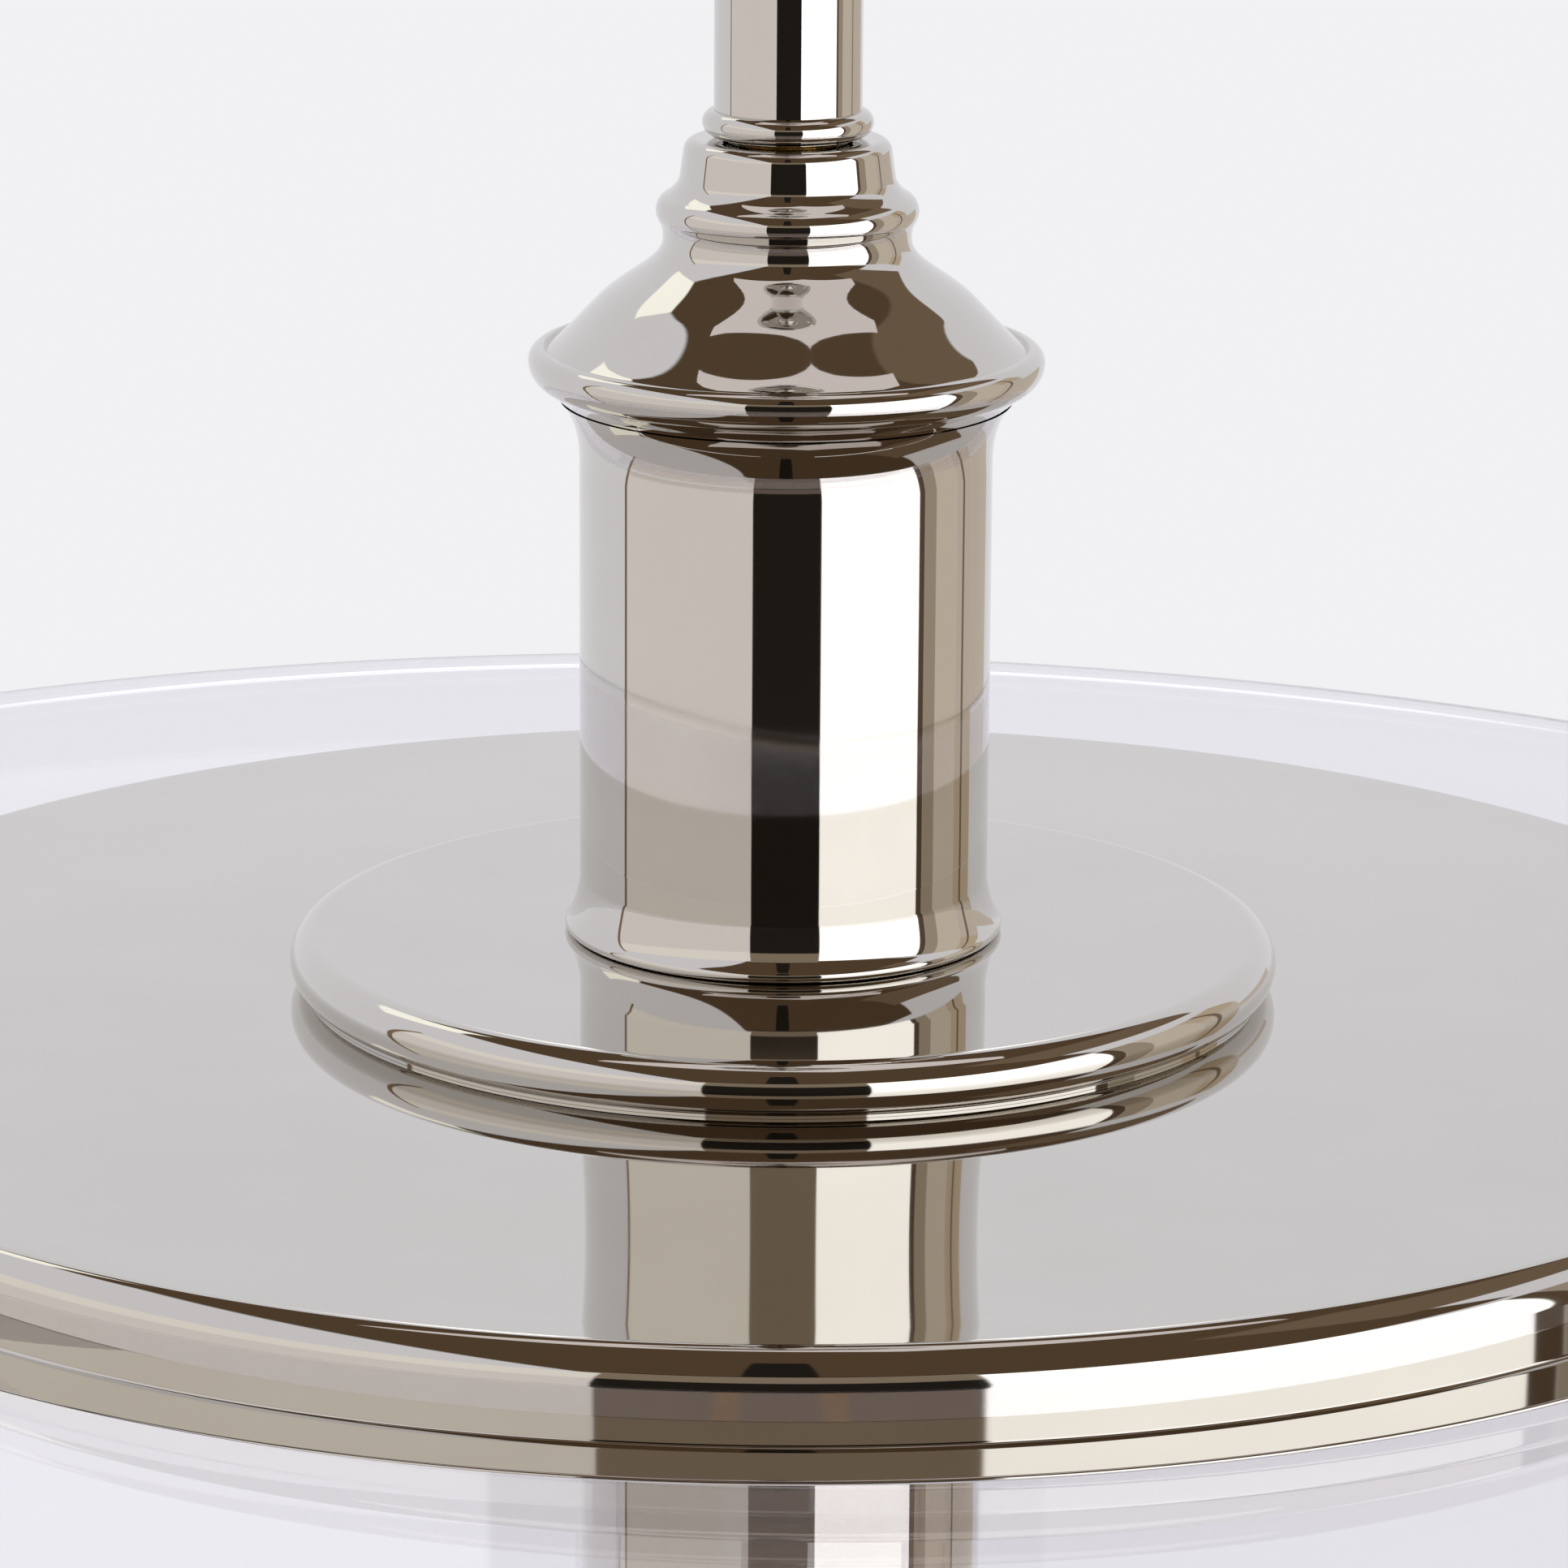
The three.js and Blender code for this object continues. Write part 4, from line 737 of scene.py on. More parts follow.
# %% Swivel yokes
YOKE_BORE = 3
PLATE_ROUND = 0.4
BOSS_RADIUS = 10
BOSS_SWEEP = 1.6
BOSS_EDGE = 0.5


def merged_mesh(name, *meshes):
    """One mesh from several that touch or stand in each other."""
    shape = bmesh.new()
    for mesh in meshes:
        shape.from_mesh(mesh)
        bpy.data.meshes.remove(mesh)
    whole = bpy.data.meshes.new(name)
    shape.to_mesh(whole)
    shape.free()
    return whole


def yoke(name, boss_height):
    """Boss and ears in one mesh, with the pivot at the origin and the plate above it."""
    plate_radius = math.hypot(EAR_INNER + EAR_THICKNESS, EAR_WIDTH / 2)
    plate_top = PLATE_DROP + PLATE
    rim = plate_radius - PLATE_ROUND
    outline = Outline(0, YOKE_BORE, PLATE_DROP).line(rim, PLATE_DROP)
    outline.arc(rim, PLATE_DROP + PLATE_ROUND, PLATE_ROUND, -90, 0)
    outline.line(plate_radius, PLATE_DROP + PLATE / 2)
    outline.curve((plate_radius, plate_top - PLATE_ROUND), (BOSS_RADIUS + BOSS_SWEEP, plate_top),
                  (BOSS_RADIUS, plate_top + PLATE / 2))
    outline.line(BOSS_RADIUS, boss_height - BOSS_EDGE).line(BOSS_RADIUS - BOSS_EDGE, boss_height)
    outline.line(YOKE_BORE, boss_height).close()
    whole = merged_mesh(name, turned_mesh(name, outline, sides=128), ear_mesh(-1), ear_mesh(1))
    return finish_mesh(name, whole, nickel)


boss_height = top("swivel_upper_yoke") - PIVOT
upper_yoke = moved(yoke("swivel_upper_yoke_turned", boss_height), 0, 0, PIVOT)
lower_yoke = yoke("swivel_lower_yoke_turned", boss_height)
lower_yoke.data.transform(Matrix.Rotation(math.pi / 2, 4, "Z") @ Matrix.Rotation(math.pi, 4, "X"))
moved(lower_yoke, 0, 0, PIVOT)
stands_for(upper_yoke, "polished_nickel", "swivel_upper_yoke")
stands_for(lower_yoke, "polished_nickel", "swivel_lower_yoke")

# %% [markdown]
# ## Gimbal ring and pivot screws
# The ring between the yokes is a plain band. Each ear is held to it by a slotted screw with a domed
# head. The screw is turned too, and a Boolean cuts its slot, because a slot is no shape for a lathe.

# %% Gimbal ring
GIMBAL_BORE = 6
gimbal_low, gimbal_high, gimbal_radius = extent("swivel_gimbal_ring")
gimbal = band(0, GIMBAL_BORE, gimbal_radius, gimbal_low, gimbal_high, chamfer=0.5)
gimbal_ring = turned("swivel_gimbal_ring_turned", gimbal, nickel, sides=128)
stands_for(gimbal_ring, "polished_nickel", "swivel_gimbal_ring")

# %% Pivot screws
PIN_TIP = 7
PIN_RADIUS = 1.6
PIN_EDGE = 0.3
HEAD_GAP = 0.05
HEAD_RADIUS = 2.8
HEAD_SIDE = 0.4
HEAD_TOP = 15.5
HEAD_DOME = ((HEAD_RADIUS, HEAD_TOP - 0.5), (2.0, HEAD_TOP), (0, HEAD_TOP))
SLOT_WIDTH = 0.7
SLOT_DEPTH = 0.7
SLOT_CUT = 8


def slot_cutter():
    shape = bmesh.new()
    bmesh.ops.create_cube(shape, size=1)
    bmesh.ops.scale(shape, verts=shape.verts, vec=Vector((SLOT_WIDTH, SLOT_CUT, 2 * SLOT_DEPTH)) * MM)
    bmesh.ops.translate(shape, verts=shape.verts, vec=Vector((0, 0, HEAD_TOP)) * MM)
    mesh = bpy.data.meshes.new("slot cutter")
    shape.to_mesh(mesh)
    shape.free()
    return add_object("slot cutter", mesh)


def pivot_screw(name, turn):
    """A slotted dome head on a plain pin, made upright on Z and then laid along the pivot."""
    seat = EAR_INNER + EAR_THICKNESS + HEAD_GAP
    outline = Outline(0, 0, PIN_TIP).line(PIN_RADIUS - PIN_EDGE, PIN_TIP)
    outline.line(PIN_RADIUS, PIN_TIP + PIN_EDGE).line(PIN_RADIUS, seat).line(HEAD_RADIUS, seat)
    outline.line(HEAD_RADIUS, seat + HEAD_SIDE).curve(*HEAD_DOME)
    screw = turned(name, outline, nickel, sides=48, closed=False)
    cutter = slot_cutter()
    cut = screw.modifiers.new("slot", "BOOLEAN")
    cut.operation = "DIFFERENCE"
    cut.solver = "EXACT"
    cut.object = cutter
    evaluated = screw.evaluated_get(bpy.context.evaluated_depsgraph_get())
    screw.data = bpy.data.meshes.new_from_object(evaluated)
    screw.modifiers.clear()
    bpy.data.objects.remove(cutter)
    screw.data.set_sharp_from_angle(angle=SHARP)
    screw.data.transform(Matrix.Rotation(turn, 4, "Z") @ Matrix.Rotation(math.pi / 2, 4, "Y"))
    return moved(screw, 0, 0, PIVOT)


for i, end in enumerate(("x_a", "y_a", "x_b", "y_b")):
    node_name = "pivot_screw_" + end
    stands_for(pivot_screw(node_name + "_slotted", i * math.pi / 2), "polished_nickel", node_name)

# %% [markdown]
# ## Glass shade
# The shade is blown into a wide form with a flat crown, a round shoulder and a slightly flared side.
# A blown crown never comes out level, so beyond the lip of the cap it leans a few millimetres, and
# long low waves run round it. One outline gives both faces of the wall, and a formula then moves the
# points up and down, so that the two faces stay nearly as far apart as they were.

# %% Glass shade
GLASS_WALL = 4
GLASS_SHOULDER = 24
GLASS_FLARE = 6
GLASS_HOLE = 52
SIDE_PULL = 25

glass_low, glass_high, glass_mouth = extent("glass_shade")
glass_side = glass_mouth - GLASS_FLARE
glass_bore = glass_side - GLASS_WALL
glass_crown = glass_side - GLASS_SHOULDER
shoulder_low = glass_high - GLASS_SHOULDER
mouth_round = GLASS_WALL / 2
middle = (glass_high + glass_low) / 2
glass = Outline(0, GLASS_HOLE, glass_high - GLASS_WALL).line(glass_crown, glass_high - GLASS_WALL)
glass.arc(glass_crown, shoulder_low, GLASS_SHOULDER - GLASS_WALL, 90, 0)
glass.curve((glass_bore, middle + SIDE_PULL), (glass_bore, middle - SIDE_PULL),
            (glass_mouth - GLASS_WALL, glass_low + mouth_round))
glass.arc(glass_mouth - mouth_round, glass_low + mouth_round, mouth_round, 180, 360)
glass.curve((glass_side, middle - SIDE_PULL), (glass_side, middle + SIDE_PULL), (glass_side, shoulder_low))
glass.arc(glass_crown, shoulder_low, GLASS_SHOULDER, 0, 90)
glass.line(GLASS_HOLE, glass_high).close()
print(f"glass {2 * glass_mouth:.0f} mm wide, {glass_high - glass_low:.0f} mm high")

# %% Blowing the glass
GLASS_LEAN = math.radians(0.6)
GLASS_LEVEL = (128, 200)
WAVE_HEIGHT = 0.12
RIPPLE = 9
DRIFT = 23
SWIRL = 1.7


def blown(mesh):
    """Leans the crown about the Y axis and runs low waves round it, nothing of it under the cap."""
    inner, outer = GLASS_LEVEL
    for vertex in mesh.vertices:
        radius = math.hypot(vertex.co.x, vertex.co.y) / MM
        angle = math.atan2(vertex.co.y, vertex.co.x)
        share = min(1, max(0, (radius - inner) / (outer - inner)))
        height = max(0, 1 - (glass_high - vertex.co.z / MM) / (glass_high - glass_low))
        lean = -math.tan(GLASS_LEAN) * vertex.co.x * share * height
        ripple = math.sin(radius / RIPPLE + SWIRL * math.sin(2 * angle))
        drift = math.sin(3 * angle + radius / DRIFT)
        vertex.co.z += lean + WAVE_HEIGHT * MM * (ripple + drift) * share * height


glass_mesh = turned_mesh("glass_shade_blown", glass, sides=320)
blown(glass_mesh)
glass_shade = finish_mesh("glass_shade_blown", glass_mesh, shade_glass)
stands_for(glass_shade, "shade_glass", "glass_shade")

# %% [markdown]
# ## Clamp rings
# Under the cap a spacer and two silicone gaskets hold the glass, and a plate and a knurled ring below
# clamp it to the lampholder's sleeve. Four of them are plain bands, so one loop makes them from the
# boxes of their solids.

# %% Clamp rings
SEAL_BORE = 56
for node_name, bore, material, finish in (
    ("glass_spacer", SEAL_BORE, zinc, "zinc_steel"),
    ("upper_gasket", SEAL_BORE, rubber, "silicone"),
    ("lower_gasket", SEAL_BORE, rubber, "silicone"),
    ("retaining_plate", sleeve_hole, nickel, "polished_nickel"),
):
    low, high, radius = extent(node_name)
    outline = band(0, bore, radius, low, high, chamfer=0.3)
    stands_for(turned(node_name + "_turned", outline, material), finish, node_name)

# %% [markdown]
# ## Geometry Nodes
# Knurls, threads and light-giving rods repeat by a rule, so small node trees make them. Each tree has
# named inputs for its sizes. The result is baked to a plain mesh, because an export keeps no instances.

# %% Baking a node tree
def new_tree(name, lengths, counts=()):
    tree = bpy.data.node_groups.new(name, "GeometryNodeTree")
    for kind, labels in (("NodeSocketFloat", lengths), ("NodeSocketInt", counts)):
        for label in labels:
            tree.interface.new_socket(label, in_out="INPUT", socket_type=kind)
    tree.interface.new_socket("Geometry", in_out="OUTPUT", socket_type="NodeSocketGeometry")
    return tree, tree.nodes.new("NodeGroupInput").outputs


def end_tree(tree, geometry, material, lift=0):
    """Lifts what the tree made, turns its instances into a smooth mesh and paints it."""
    height = add(tree, "ShaderNodeCombineXYZ", {"Z": lift})
    placed = add(tree, "GeometryNodeTransform", {0: geometry, "Translation": height.outputs[0]})
    solid = add(tree, "GeometryNodeRealizeInstances", {0: placed.outputs[0]})
    smooth = add(tree, "GeometryNodeSetShadeSmooth", {0: solid.outputs[0]})
    painted = add(tree, "GeometryNodeSetMaterial", {0: smooth.outputs[0], "Material": material})
    add(tree, "NodeGroupOutput", {0: painted.outputs[0]})


def baked_mesh(name, tree, values):
    carrier = add_object(name, bpy.data.meshes.new(name))
    nodes = carrier.modifiers.new(name, "NODES")
    nodes.node_group = tree
    sockets = {s.name: s.identifier for s in tree.interface.items_tree if s.in_out == "INPUT"}
    for label, value in values.items():
        nodes[sockets[label]] = value
    evaluated = carrier.evaluated_get(bpy.context.evaluated_depsgraph_get())
    mesh = bpy.data.meshes.new_from_object(evaluated)
    bpy.data.objects.remove(carrier)
    return mesh


def joined(name, material, *meshes):
    """One piece from several baked or turned meshes."""
    return dressed(name, merged_mesh(name, *meshes), material)


# %% [markdown]
# ## Knurled shade ring
# Fingers turn this ring, so its rim is knurled. Each rib is a thin upright prism that stands half in a
# plain band, and one node places it on every point of a circle.

# %% Knurled shade ring
KNURL_COUNT = 72
KNURL_DEPTH = 0.8
KNURL_MARGIN = 0.8


def knurl_tree():
    tree, size = new_tree("knurl", ["Radius", "Height", "Depth", "Middle"], ["Count"])
    circle = add(tree, "GeometryNodeMeshCircle", {"Vertices": size["Count"], "Radius": size["Radius"]})
    rib = add(tree, "GeometryNodeMeshCylinder", {
        "Vertices": 6, "Radius": size["Depth"], "Depth": size["Height"]})
    ribs = add(tree, "GeometryNodeInstanceOnPoints", {
        "Points": circle.outputs[0], "Instance": rib.outputs[0]})
    end_tree(tree, ribs.outputs[0], nickel, lift=size["Middle"])
    return tree


ring_low, ring_high, ring_radius = extent("shade_ring")
core_radius = ring_radius - KNURL_DEPTH
knurls = baked_mesh("knurls", knurl_tree(), {
    "Radius": core_radius * MM, "Height": (ring_high - ring_low - 2 * KNURL_MARGIN) * MM,
    "Depth": KNURL_DEPTH * MM, "Count": KNURL_COUNT, "Middle": (ring_low + ring_high) / 2 * MM})
ring_core = turned_mesh("ring core", band(0, sleeve_hole, core_radius, ring_low, ring_high, chamfer=0.5))
shade_ring = joined("shade_ring_knurled", nickel, ring_core, knurls)
stands_for(shade_ring, "polished_nickel", "shade_ring")

# %% [markdown]
# ## Lampholder
# A nickel sleeve of the cup's own width comes through the shade, threaded where the knurled ring turns
# on it. Inside it the holder is glazed porcelain in two halves, with a brass screw shell and a sprung
# contact. A thread is a round ridge swept along a helix, so one kind of tree serves all three of them.

# %% Threads
THREAD_STEPS = 48
RIDGE_SIDES = 10


def thread_tree(material):
    tree, size = new_tree("thread", ["Radius", "Low", "Height", "Turns", "Round"])
    helix = add(tree, "GeometryNodeCurveSpiral", {
        "Resolution": THREAD_STEPS, "Rotations": size["Turns"], "Start Radius": size["Radius"],
        "End Radius": size["Radius"], "Height": size["Height"]})
    section = add(tree, "GeometryNodeCurvePrimitiveCircle", {
        "Resolution": RIDGE_SIDES, "Radius": size["Round"]})
    ridge = add(tree, "GeometryNodeCurveToMesh", {
        "Curve": helix.outputs[0], "Profile Curve": section.outputs[0], "Fill Caps": True})
    end_tree(tree, ridge.outputs[0], material, lift=size["Low"])
    return tree


def thread(material, radius, low, high, lead, ridge):
    return baked_mesh("thread", thread_tree(material), {
        "Radius": radius * MM, "Low": low * MM, "Height": (high - low) * MM,
        "Turns": (high - low) / lead, "Round": ridge * MM})


# %% Lampholder sleeve
SLEEVE_WALL = 1
SLEEVE_ROOF = 3
SLEEVE_EDGE = 0.8
SLEEVE_BORE_END = 0.3
SLEEVE_LEAD = 1.5
SLEEVE_RIDGE = 0.25
SLEEVE_RIDGE_SUNK = 0.1
THREAD_PAST_RING = 1.2

sleeve_low, sleeve_high, sleeve_radius = extent("lampholder_sleeve")
sleeve_bore = sleeve_radius - SLEEVE_WALL
lip = SLEEVE_WALL / 2
sleeve = Outline(0, NECK_BORE, sleeve_high).line(NECK_BORE, sleeve_high - SLEEVE_ROOF)
sleeve.line(sleeve_bore, sleeve_high - SLEEVE_ROOF).line(sleeve_bore, sleeve_low + SLEEVE_BORE_END)
sleeve.arc(sleeve_radius - lip, sleeve_low + lip, lip, 180, 360)
sleeve.line(sleeve_radius, sleeve_high - SLEEVE_EDGE).line(sleeve_radius - SLEEVE_EDGE, sleeve_high).close()
sleeve_thread = thread(nickel, sleeve_radius - SLEEVE_RIDGE_SUNK, ring_low - THREAD_PAST_RING,
                       ring_high + THREAD_PAST_RING, SLEEVE_LEAD, SLEEVE_RIDGE)
lampholder_sleeve = joined("lampholder_sleeve_drawn", nickel, turned_mesh("sleeve", sleeve), sleeve_thread)
stands_for(lampholder_sleeve, "polished_nickel", "lampholder_sleeve")

# %% Lampholder body
SHELL_HOLE = 14.5
MOUTH_RADIUS = 16.6
MOUTH_DEPTH = 16
MOUTH_EDGE = 0.6
BODY_EDGE = 0.8
BODY_ROOF = 6

holder_low, holder_high, holder_radius = extent("lampholder_body")
ledge = holder_low + MOUTH_DEPTH
body = Outline(0, 0, holder_high - BODY_ROOF).line(SHELL_HOLE, holder_high - BODY_ROOF)
body.line(SHELL_HOLE, ledge).line(MOUTH_RADIUS, ledge)
body.line(MOUTH_RADIUS, holder_low + MOUTH_EDGE).line(MOUTH_RADIUS + MOUTH_EDGE, holder_low)
body.line(holder_radius - BODY_EDGE, holder_low).line(holder_radius, holder_low + BODY_EDGE)
body.line(holder_radius, holder_high - BODY_EDGE).line(holder_radius - BODY_EDGE, holder_high)
body.line(0, holder_high)
lampholder = turned("lampholder_body_glazed", body, porcelain, sides=192, closed=False)
stands_for(lampholder, "ceramic", "lampholder_body")

# %% Lampholder cap
DOME = 17
DOME_BORE = 17.5
DOME_WALL = 2.3
CAP_NECK = 9
DOME_OUTSIDE = ((holder_radius, DOME * 0.85), (holder_radius * 0.75, DOME), (CAP_NECK, DOME))
DOME_INSIDE = ((14, DOME - DOME_WALL), (DOME_BORE, DOME * 0.7), (DOME_BORE, DOME / 3))

holder_cap_low = bottom("lampholder_cap")
cap_height = top("lampholder_cap") - holder_cap_low
dome = Outline(holder_cap_low, DOME_BORE, 0).line(holder_radius, 0).line(holder_radius, DOME / 2)
dome.curve(*DOME_OUTSIDE).line(CAP_NECK, cap_height).line(NECK_BORE, cap_height)
dome.line(NECK_BORE, DOME - DOME_WALL).curve(*DOME_INSIDE).close()
stands_for(turned("lampholder_cap_domed", dome, porcelain, sides=128), "ceramic", "lampholder_cap")

# %% Screw shell and contact
SCREW_LEAD = 3.6
SHELL_WALL = 0.5
SHELL_RIDGE = 0.25
SHELL_MARGIN = 1
TONGUE_RADIUS = 4
TONGUE_RISE = 1

shell_low, shell_high, shell_radius = extent("lampholder_shell")
shell_bore = shell_radius - SHELL_WALL
shell_band = band(0, shell_bore, shell_radius, shell_low, shell_high, chamfer=0.1)
shell = turned_mesh("shell", shell_band, sides=128)
shell_thread = thread(brass, shell_bore, shell_low + SHELL_MARGIN, shell_high - SHELL_MARGIN, SCREW_LEAD,
                      SHELL_RIDGE)
stands_for(joined("lampholder_shell_threaded", brass, shell, shell_thread), "brass", "lampholder_shell")
tongue_low, tongue_high = bottom("lampholder_contact"), top("lampholder_contact")
tongue = Outline(0, 0, tongue_low)
tongue.curve((TONGUE_RADIUS / 2, tongue_low), (TONGUE_RADIUS, tongue_low + TONGUE_RISE),
             (TONGUE_RADIUS, tongue_high)).line(0, tongue_high)
contact = turned("lampholder_contact_sprung", tongue, brass, sides=48, closed=False)
stands_for(contact, "brass", "lampholder_contact")

# %% [markdown]
# ## Lamp
# The lamp is a clear globe with a brass screw cap. Straight rods coated with yellow phosphor stand
# round a glass stem and give a warm light. The cap and the globe are turned outlines like the rest, and
# the globe has a true inner wall, so that it bends light as thin glass does.

# %% Lamp cap
CONE = 3
CONE_WALL = 0.6
INSULATOR = 8
LAMP_SKIN = 0.5
LAMP_RIDGE = 0.33
LAMP_RIDGE_SUNK = 0.35
RIDGE_ROOM = 0.2
LAMP_THREAD_ENDS = (3, 1)
BUTTON_EDGES = (0.3, 0.5)

lamp_cap_low, lamp_cap_high, lamp_cap_radius = extent("lamp_cap")
lamp_wall = lamp_cap_radius - RIDGE_ROOM
cone_low = lamp_cap_high - CONE
lamp_shell = Outline(0, lamp_wall - LAMP_SKIN, lamp_cap_low).line(lamp_wall, lamp_cap_low)
lamp_shell.line(lamp_wall, cone_low).line(INSULATOR, lamp_cap_high)
lamp_shell.line(INSULATOR - CONE_WALL, lamp_cap_high - CONE_WALL)
lamp_shell.line(lamp_wall - CONE_WALL, cone_low - CONE_WALL).close()
lamp_shell_mesh = turned_mesh("lamp shell", lamp_shell, sides=128)
lamp_thread = thread(brass, lamp_cap_radius - LAMP_RIDGE_SUNK, lamp_cap_low + LAMP_THREAD_ENDS[0],
                     cone_low - LAMP_THREAD_ENDS[1], SCREW_LEAD, LAMP_RIDGE)
stands_for(joined("lamp_cap_threaded", brass, lamp_shell_mesh, lamp_thread), "brass", "lamp_cap")

for node_name, material, finish in (
    ("lamp_insulator", black_glass, "vitrite"),
    ("lamp_contact", brass, "brass"),
):
    low, high, radius = extent(node_name)
    foot_edge, top_edge = BUTTON_EDGES
    button = Outline(0, 0, low).line(radius - foot_edge, low).line(radius, low + foot_edge)
    button.line(radius, high - top_edge).line(radius - top_edge, high).line(0, high)
    stands_for(turned(node_name + "_turned", button, material, sides=64, closed=False), finish, node_name)

# %% Globe
LAMP_WALL = 0.8
LAMP_NECK = 14.6
LAMP_TUCK = 12.2
TUCK_DROP = 0.3
NECK_FOOT = lamp_cap_low - 18
NECK_PULL = (1, 6)
GLOBE_PULL = 20
GLOBE_PULL_DROPS = (9, 8)
JOIN = 53

globe_low, globe_high, globe_radius = extent("lamp_glass")
globe_middle = globe_low + globe_radius
inner_globe = globe_radius - LAMP_WALL
inner_neck, inner_tuck = LAMP_NECK - LAMP_WALL, LAMP_TUCK - LAMP_WALL
inner_drop, outer_drop = GLOBE_PULL_DROPS
pull_out, pull_down = NECK_PULL
join = math.radians(JOIN)
inner_join = (inner_globe * math.cos(join), globe_middle + inner_globe * math.sin(join))
globe = Outline(0, inner_tuck, globe_high).line(inner_tuck, lamp_cap_low).line(inner_neck, NECK_FOOT)
globe.curve((inner_neck + pull_out, NECK_FOOT - pull_down), (GLOBE_PULL, NECK_FOOT - inner_drop),
            inner_join)
globe.arc(0, globe_middle, inner_globe, JOIN, -90).line(0, globe_low)
globe.arc(0, globe_middle, globe_radius, -90, JOIN)
globe.curve((GLOBE_PULL + LAMP_WALL, NECK_FOOT - outer_drop), (LAMP_NECK + pull_out, NECK_FOOT - pull_down),
            (LAMP_NECK, NECK_FOOT))
globe.line(LAMP_TUCK, lamp_cap_low - TUCK_DROP).line(LAMP_TUCK, globe_high).close()
stands_for(turned("lamp_glass_blown", globe, lamp_glass, sides=160), "lamp_glass", "lamp_glass")

# %% Glass stem of the lamp
MOUNT_TIP = 2.5
MOUNT_TIP_EDGE = (0.3, 0.4)
MOUNT_RADIUS = 5
MOUNT_TAPER = 22
MOUNT_FLARE = 10.5
FLARE_OUTSIDE = ((MOUNT_RADIUS, lamp_cap_low - 6), (9, lamp_cap_low), (MOUNT_FLARE, lamp_cap_low))

mount_low, mount_high = bottom("lamp_stem"), top("lamp_stem")
mount = Outline(0, 0, mount_low).line(MOUNT_TIP - MOUNT_TIP_EDGE[0], mount_low)
mount.line(MOUNT_TIP, mount_low + MOUNT_TIP_EDGE[1]).line(MOUNT_RADIUS, mount_low + MOUNT_TAPER)
mount.curve(*FLARE_OUTSIDE).line(MOUNT_FLARE, mount_high).line(0, mount_high)
stands_for(turned("lamp_stem_drawn", mount, lamp_glass, sides=64, closed=False), "lamp_glass", "lamp_stem")

# %% [markdown]
# ## Light-giving rods
# Four coated rods lean outwards from a small upper hub to a wider lower one. One rod is a swept line,
# and the tree turns a copy of it to each quarter of the circle.

# %% Light-giving rods
ROD_RADIUS = 0.9
ROD_SIDES = 16
ROD_COUNT = 4
ROD_SPREAD = (6, 15)
HUB = 1.6
HUB_BORES = (1, 13.2)
HUB_RIM = 1.8
FULL_TURN = 2 * math.pi


def rod_tree():
    """Rods on a circle, each leaning outwards on its way down."""
    tree, size = new_tree("rods", ["Top", "Bottom", "Inner", "Outer", "Round"], ["Count"])
    start = add(tree, "ShaderNodeCombineXYZ", {"X": size["Inner"], "Z": size["Top"]})
    end = add(tree, "ShaderNodeCombineXYZ", {"X": size["Outer"], "Z": size["Bottom"]})
    line = add(tree, "GeometryNodeCurvePrimitiveLine", {"Start": start.outputs[0], "End": end.outputs[0]})
    section = add(tree, "GeometryNodeCurvePrimitiveCircle", {
        "Resolution": ROD_SIDES, "Radius": size["Round"]})
    one = add(tree, "GeometryNodeCurveToMesh", {
        "Curve": line.outputs[0], "Profile Curve": section.outputs[0], "Fill Caps": True})
    points = add(tree, "GeometryNodePoints", {"Count": size["Count"]})
    index = add(tree, "GeometryNodeInputIndex")
    half_on = add(tree, "ShaderNodeMath", {0: index.outputs[0], 1: 0.5}, operation="ADD")
    share = add(tree, "ShaderNodeMath", {0: half_on.outputs[0], 1: size["Count"]}, operation="DIVIDE")
    angle = add(tree, "ShaderNodeMath", {0: share.outputs[0], 1: FULL_TURN}, operation="MULTIPLY")
    turn = add(tree, "ShaderNodeCombineXYZ", {"Z": angle.outputs[0]})
    rods = add(tree, "GeometryNodeInstanceOnPoints", {
        "Points": points.outputs[0], "Instance": one.outputs[0], "Rotation": turn.outputs[0]})
    end_tree(tree, rods.outputs[0], phosphor)
    return tree


cage_low, cage_high = bottom("lamp_filament"), top("lamp_filament")
rods = baked_mesh("rods", rod_tree(), {
    "Top": (cage_high - HUB / 2) * MM, "Bottom": (cage_low + HUB / 2) * MM, "Inner": ROD_SPREAD[0] * MM,
    "Outer": ROD_SPREAD[1] * MM, "Round": ROD_RADIUS * MM, "Count": ROD_COUNT})
hubs = []
for bore, spread, low, sides in (
    (HUB_BORES[0], ROD_SPREAD[0], cage_high - HUB, 64),
    (HUB_BORES[1], ROD_SPREAD[1], cage_low, 96),
):
    hub = band(0, bore, spread + HUB_RIM, low, low + HUB, chamfer=0.2)
    hubs.append(turned_mesh("hub", hub, sides=sides))
cage = joined("lamp_filament_cage", phosphor, rods, *hubs)
stands_for(cage, "phosphor", "lamp_filament")

# %% [markdown]
# ## Flex
# The flex leaves the terminal block, arches over and drops through the canopy's nipple and the swivel
# to the lampholder. It is cut at the pivot, because a piece may bend across one joint only. A curve with
# a round bevel could give the tube, but it is built ring by ring to carry a map for its weave.

# %% Route of the flex
FLEX_GAP = 0.15
FLEX_STEPS = 8
UPPER_ROUTE = [
    (0, 26.2, -16), (0, 23, -16), (0, 19, -13.6), (0, 13.5, -9), (0, 7, -7.5), (0, 1.8, -11), (0, 0, -18),
    (0, 0, -26), (0, 0, -40), (0, 0, PIVOT + FLEX_GAP),
]
LOWER_ROUTE = [
    (0, 0, PIVOT - FLEX_GAP), (0, 0, PIVOT - 20), (0, 0, PIVOT - 60), (0, 0, bottom("lower_flex")),
]


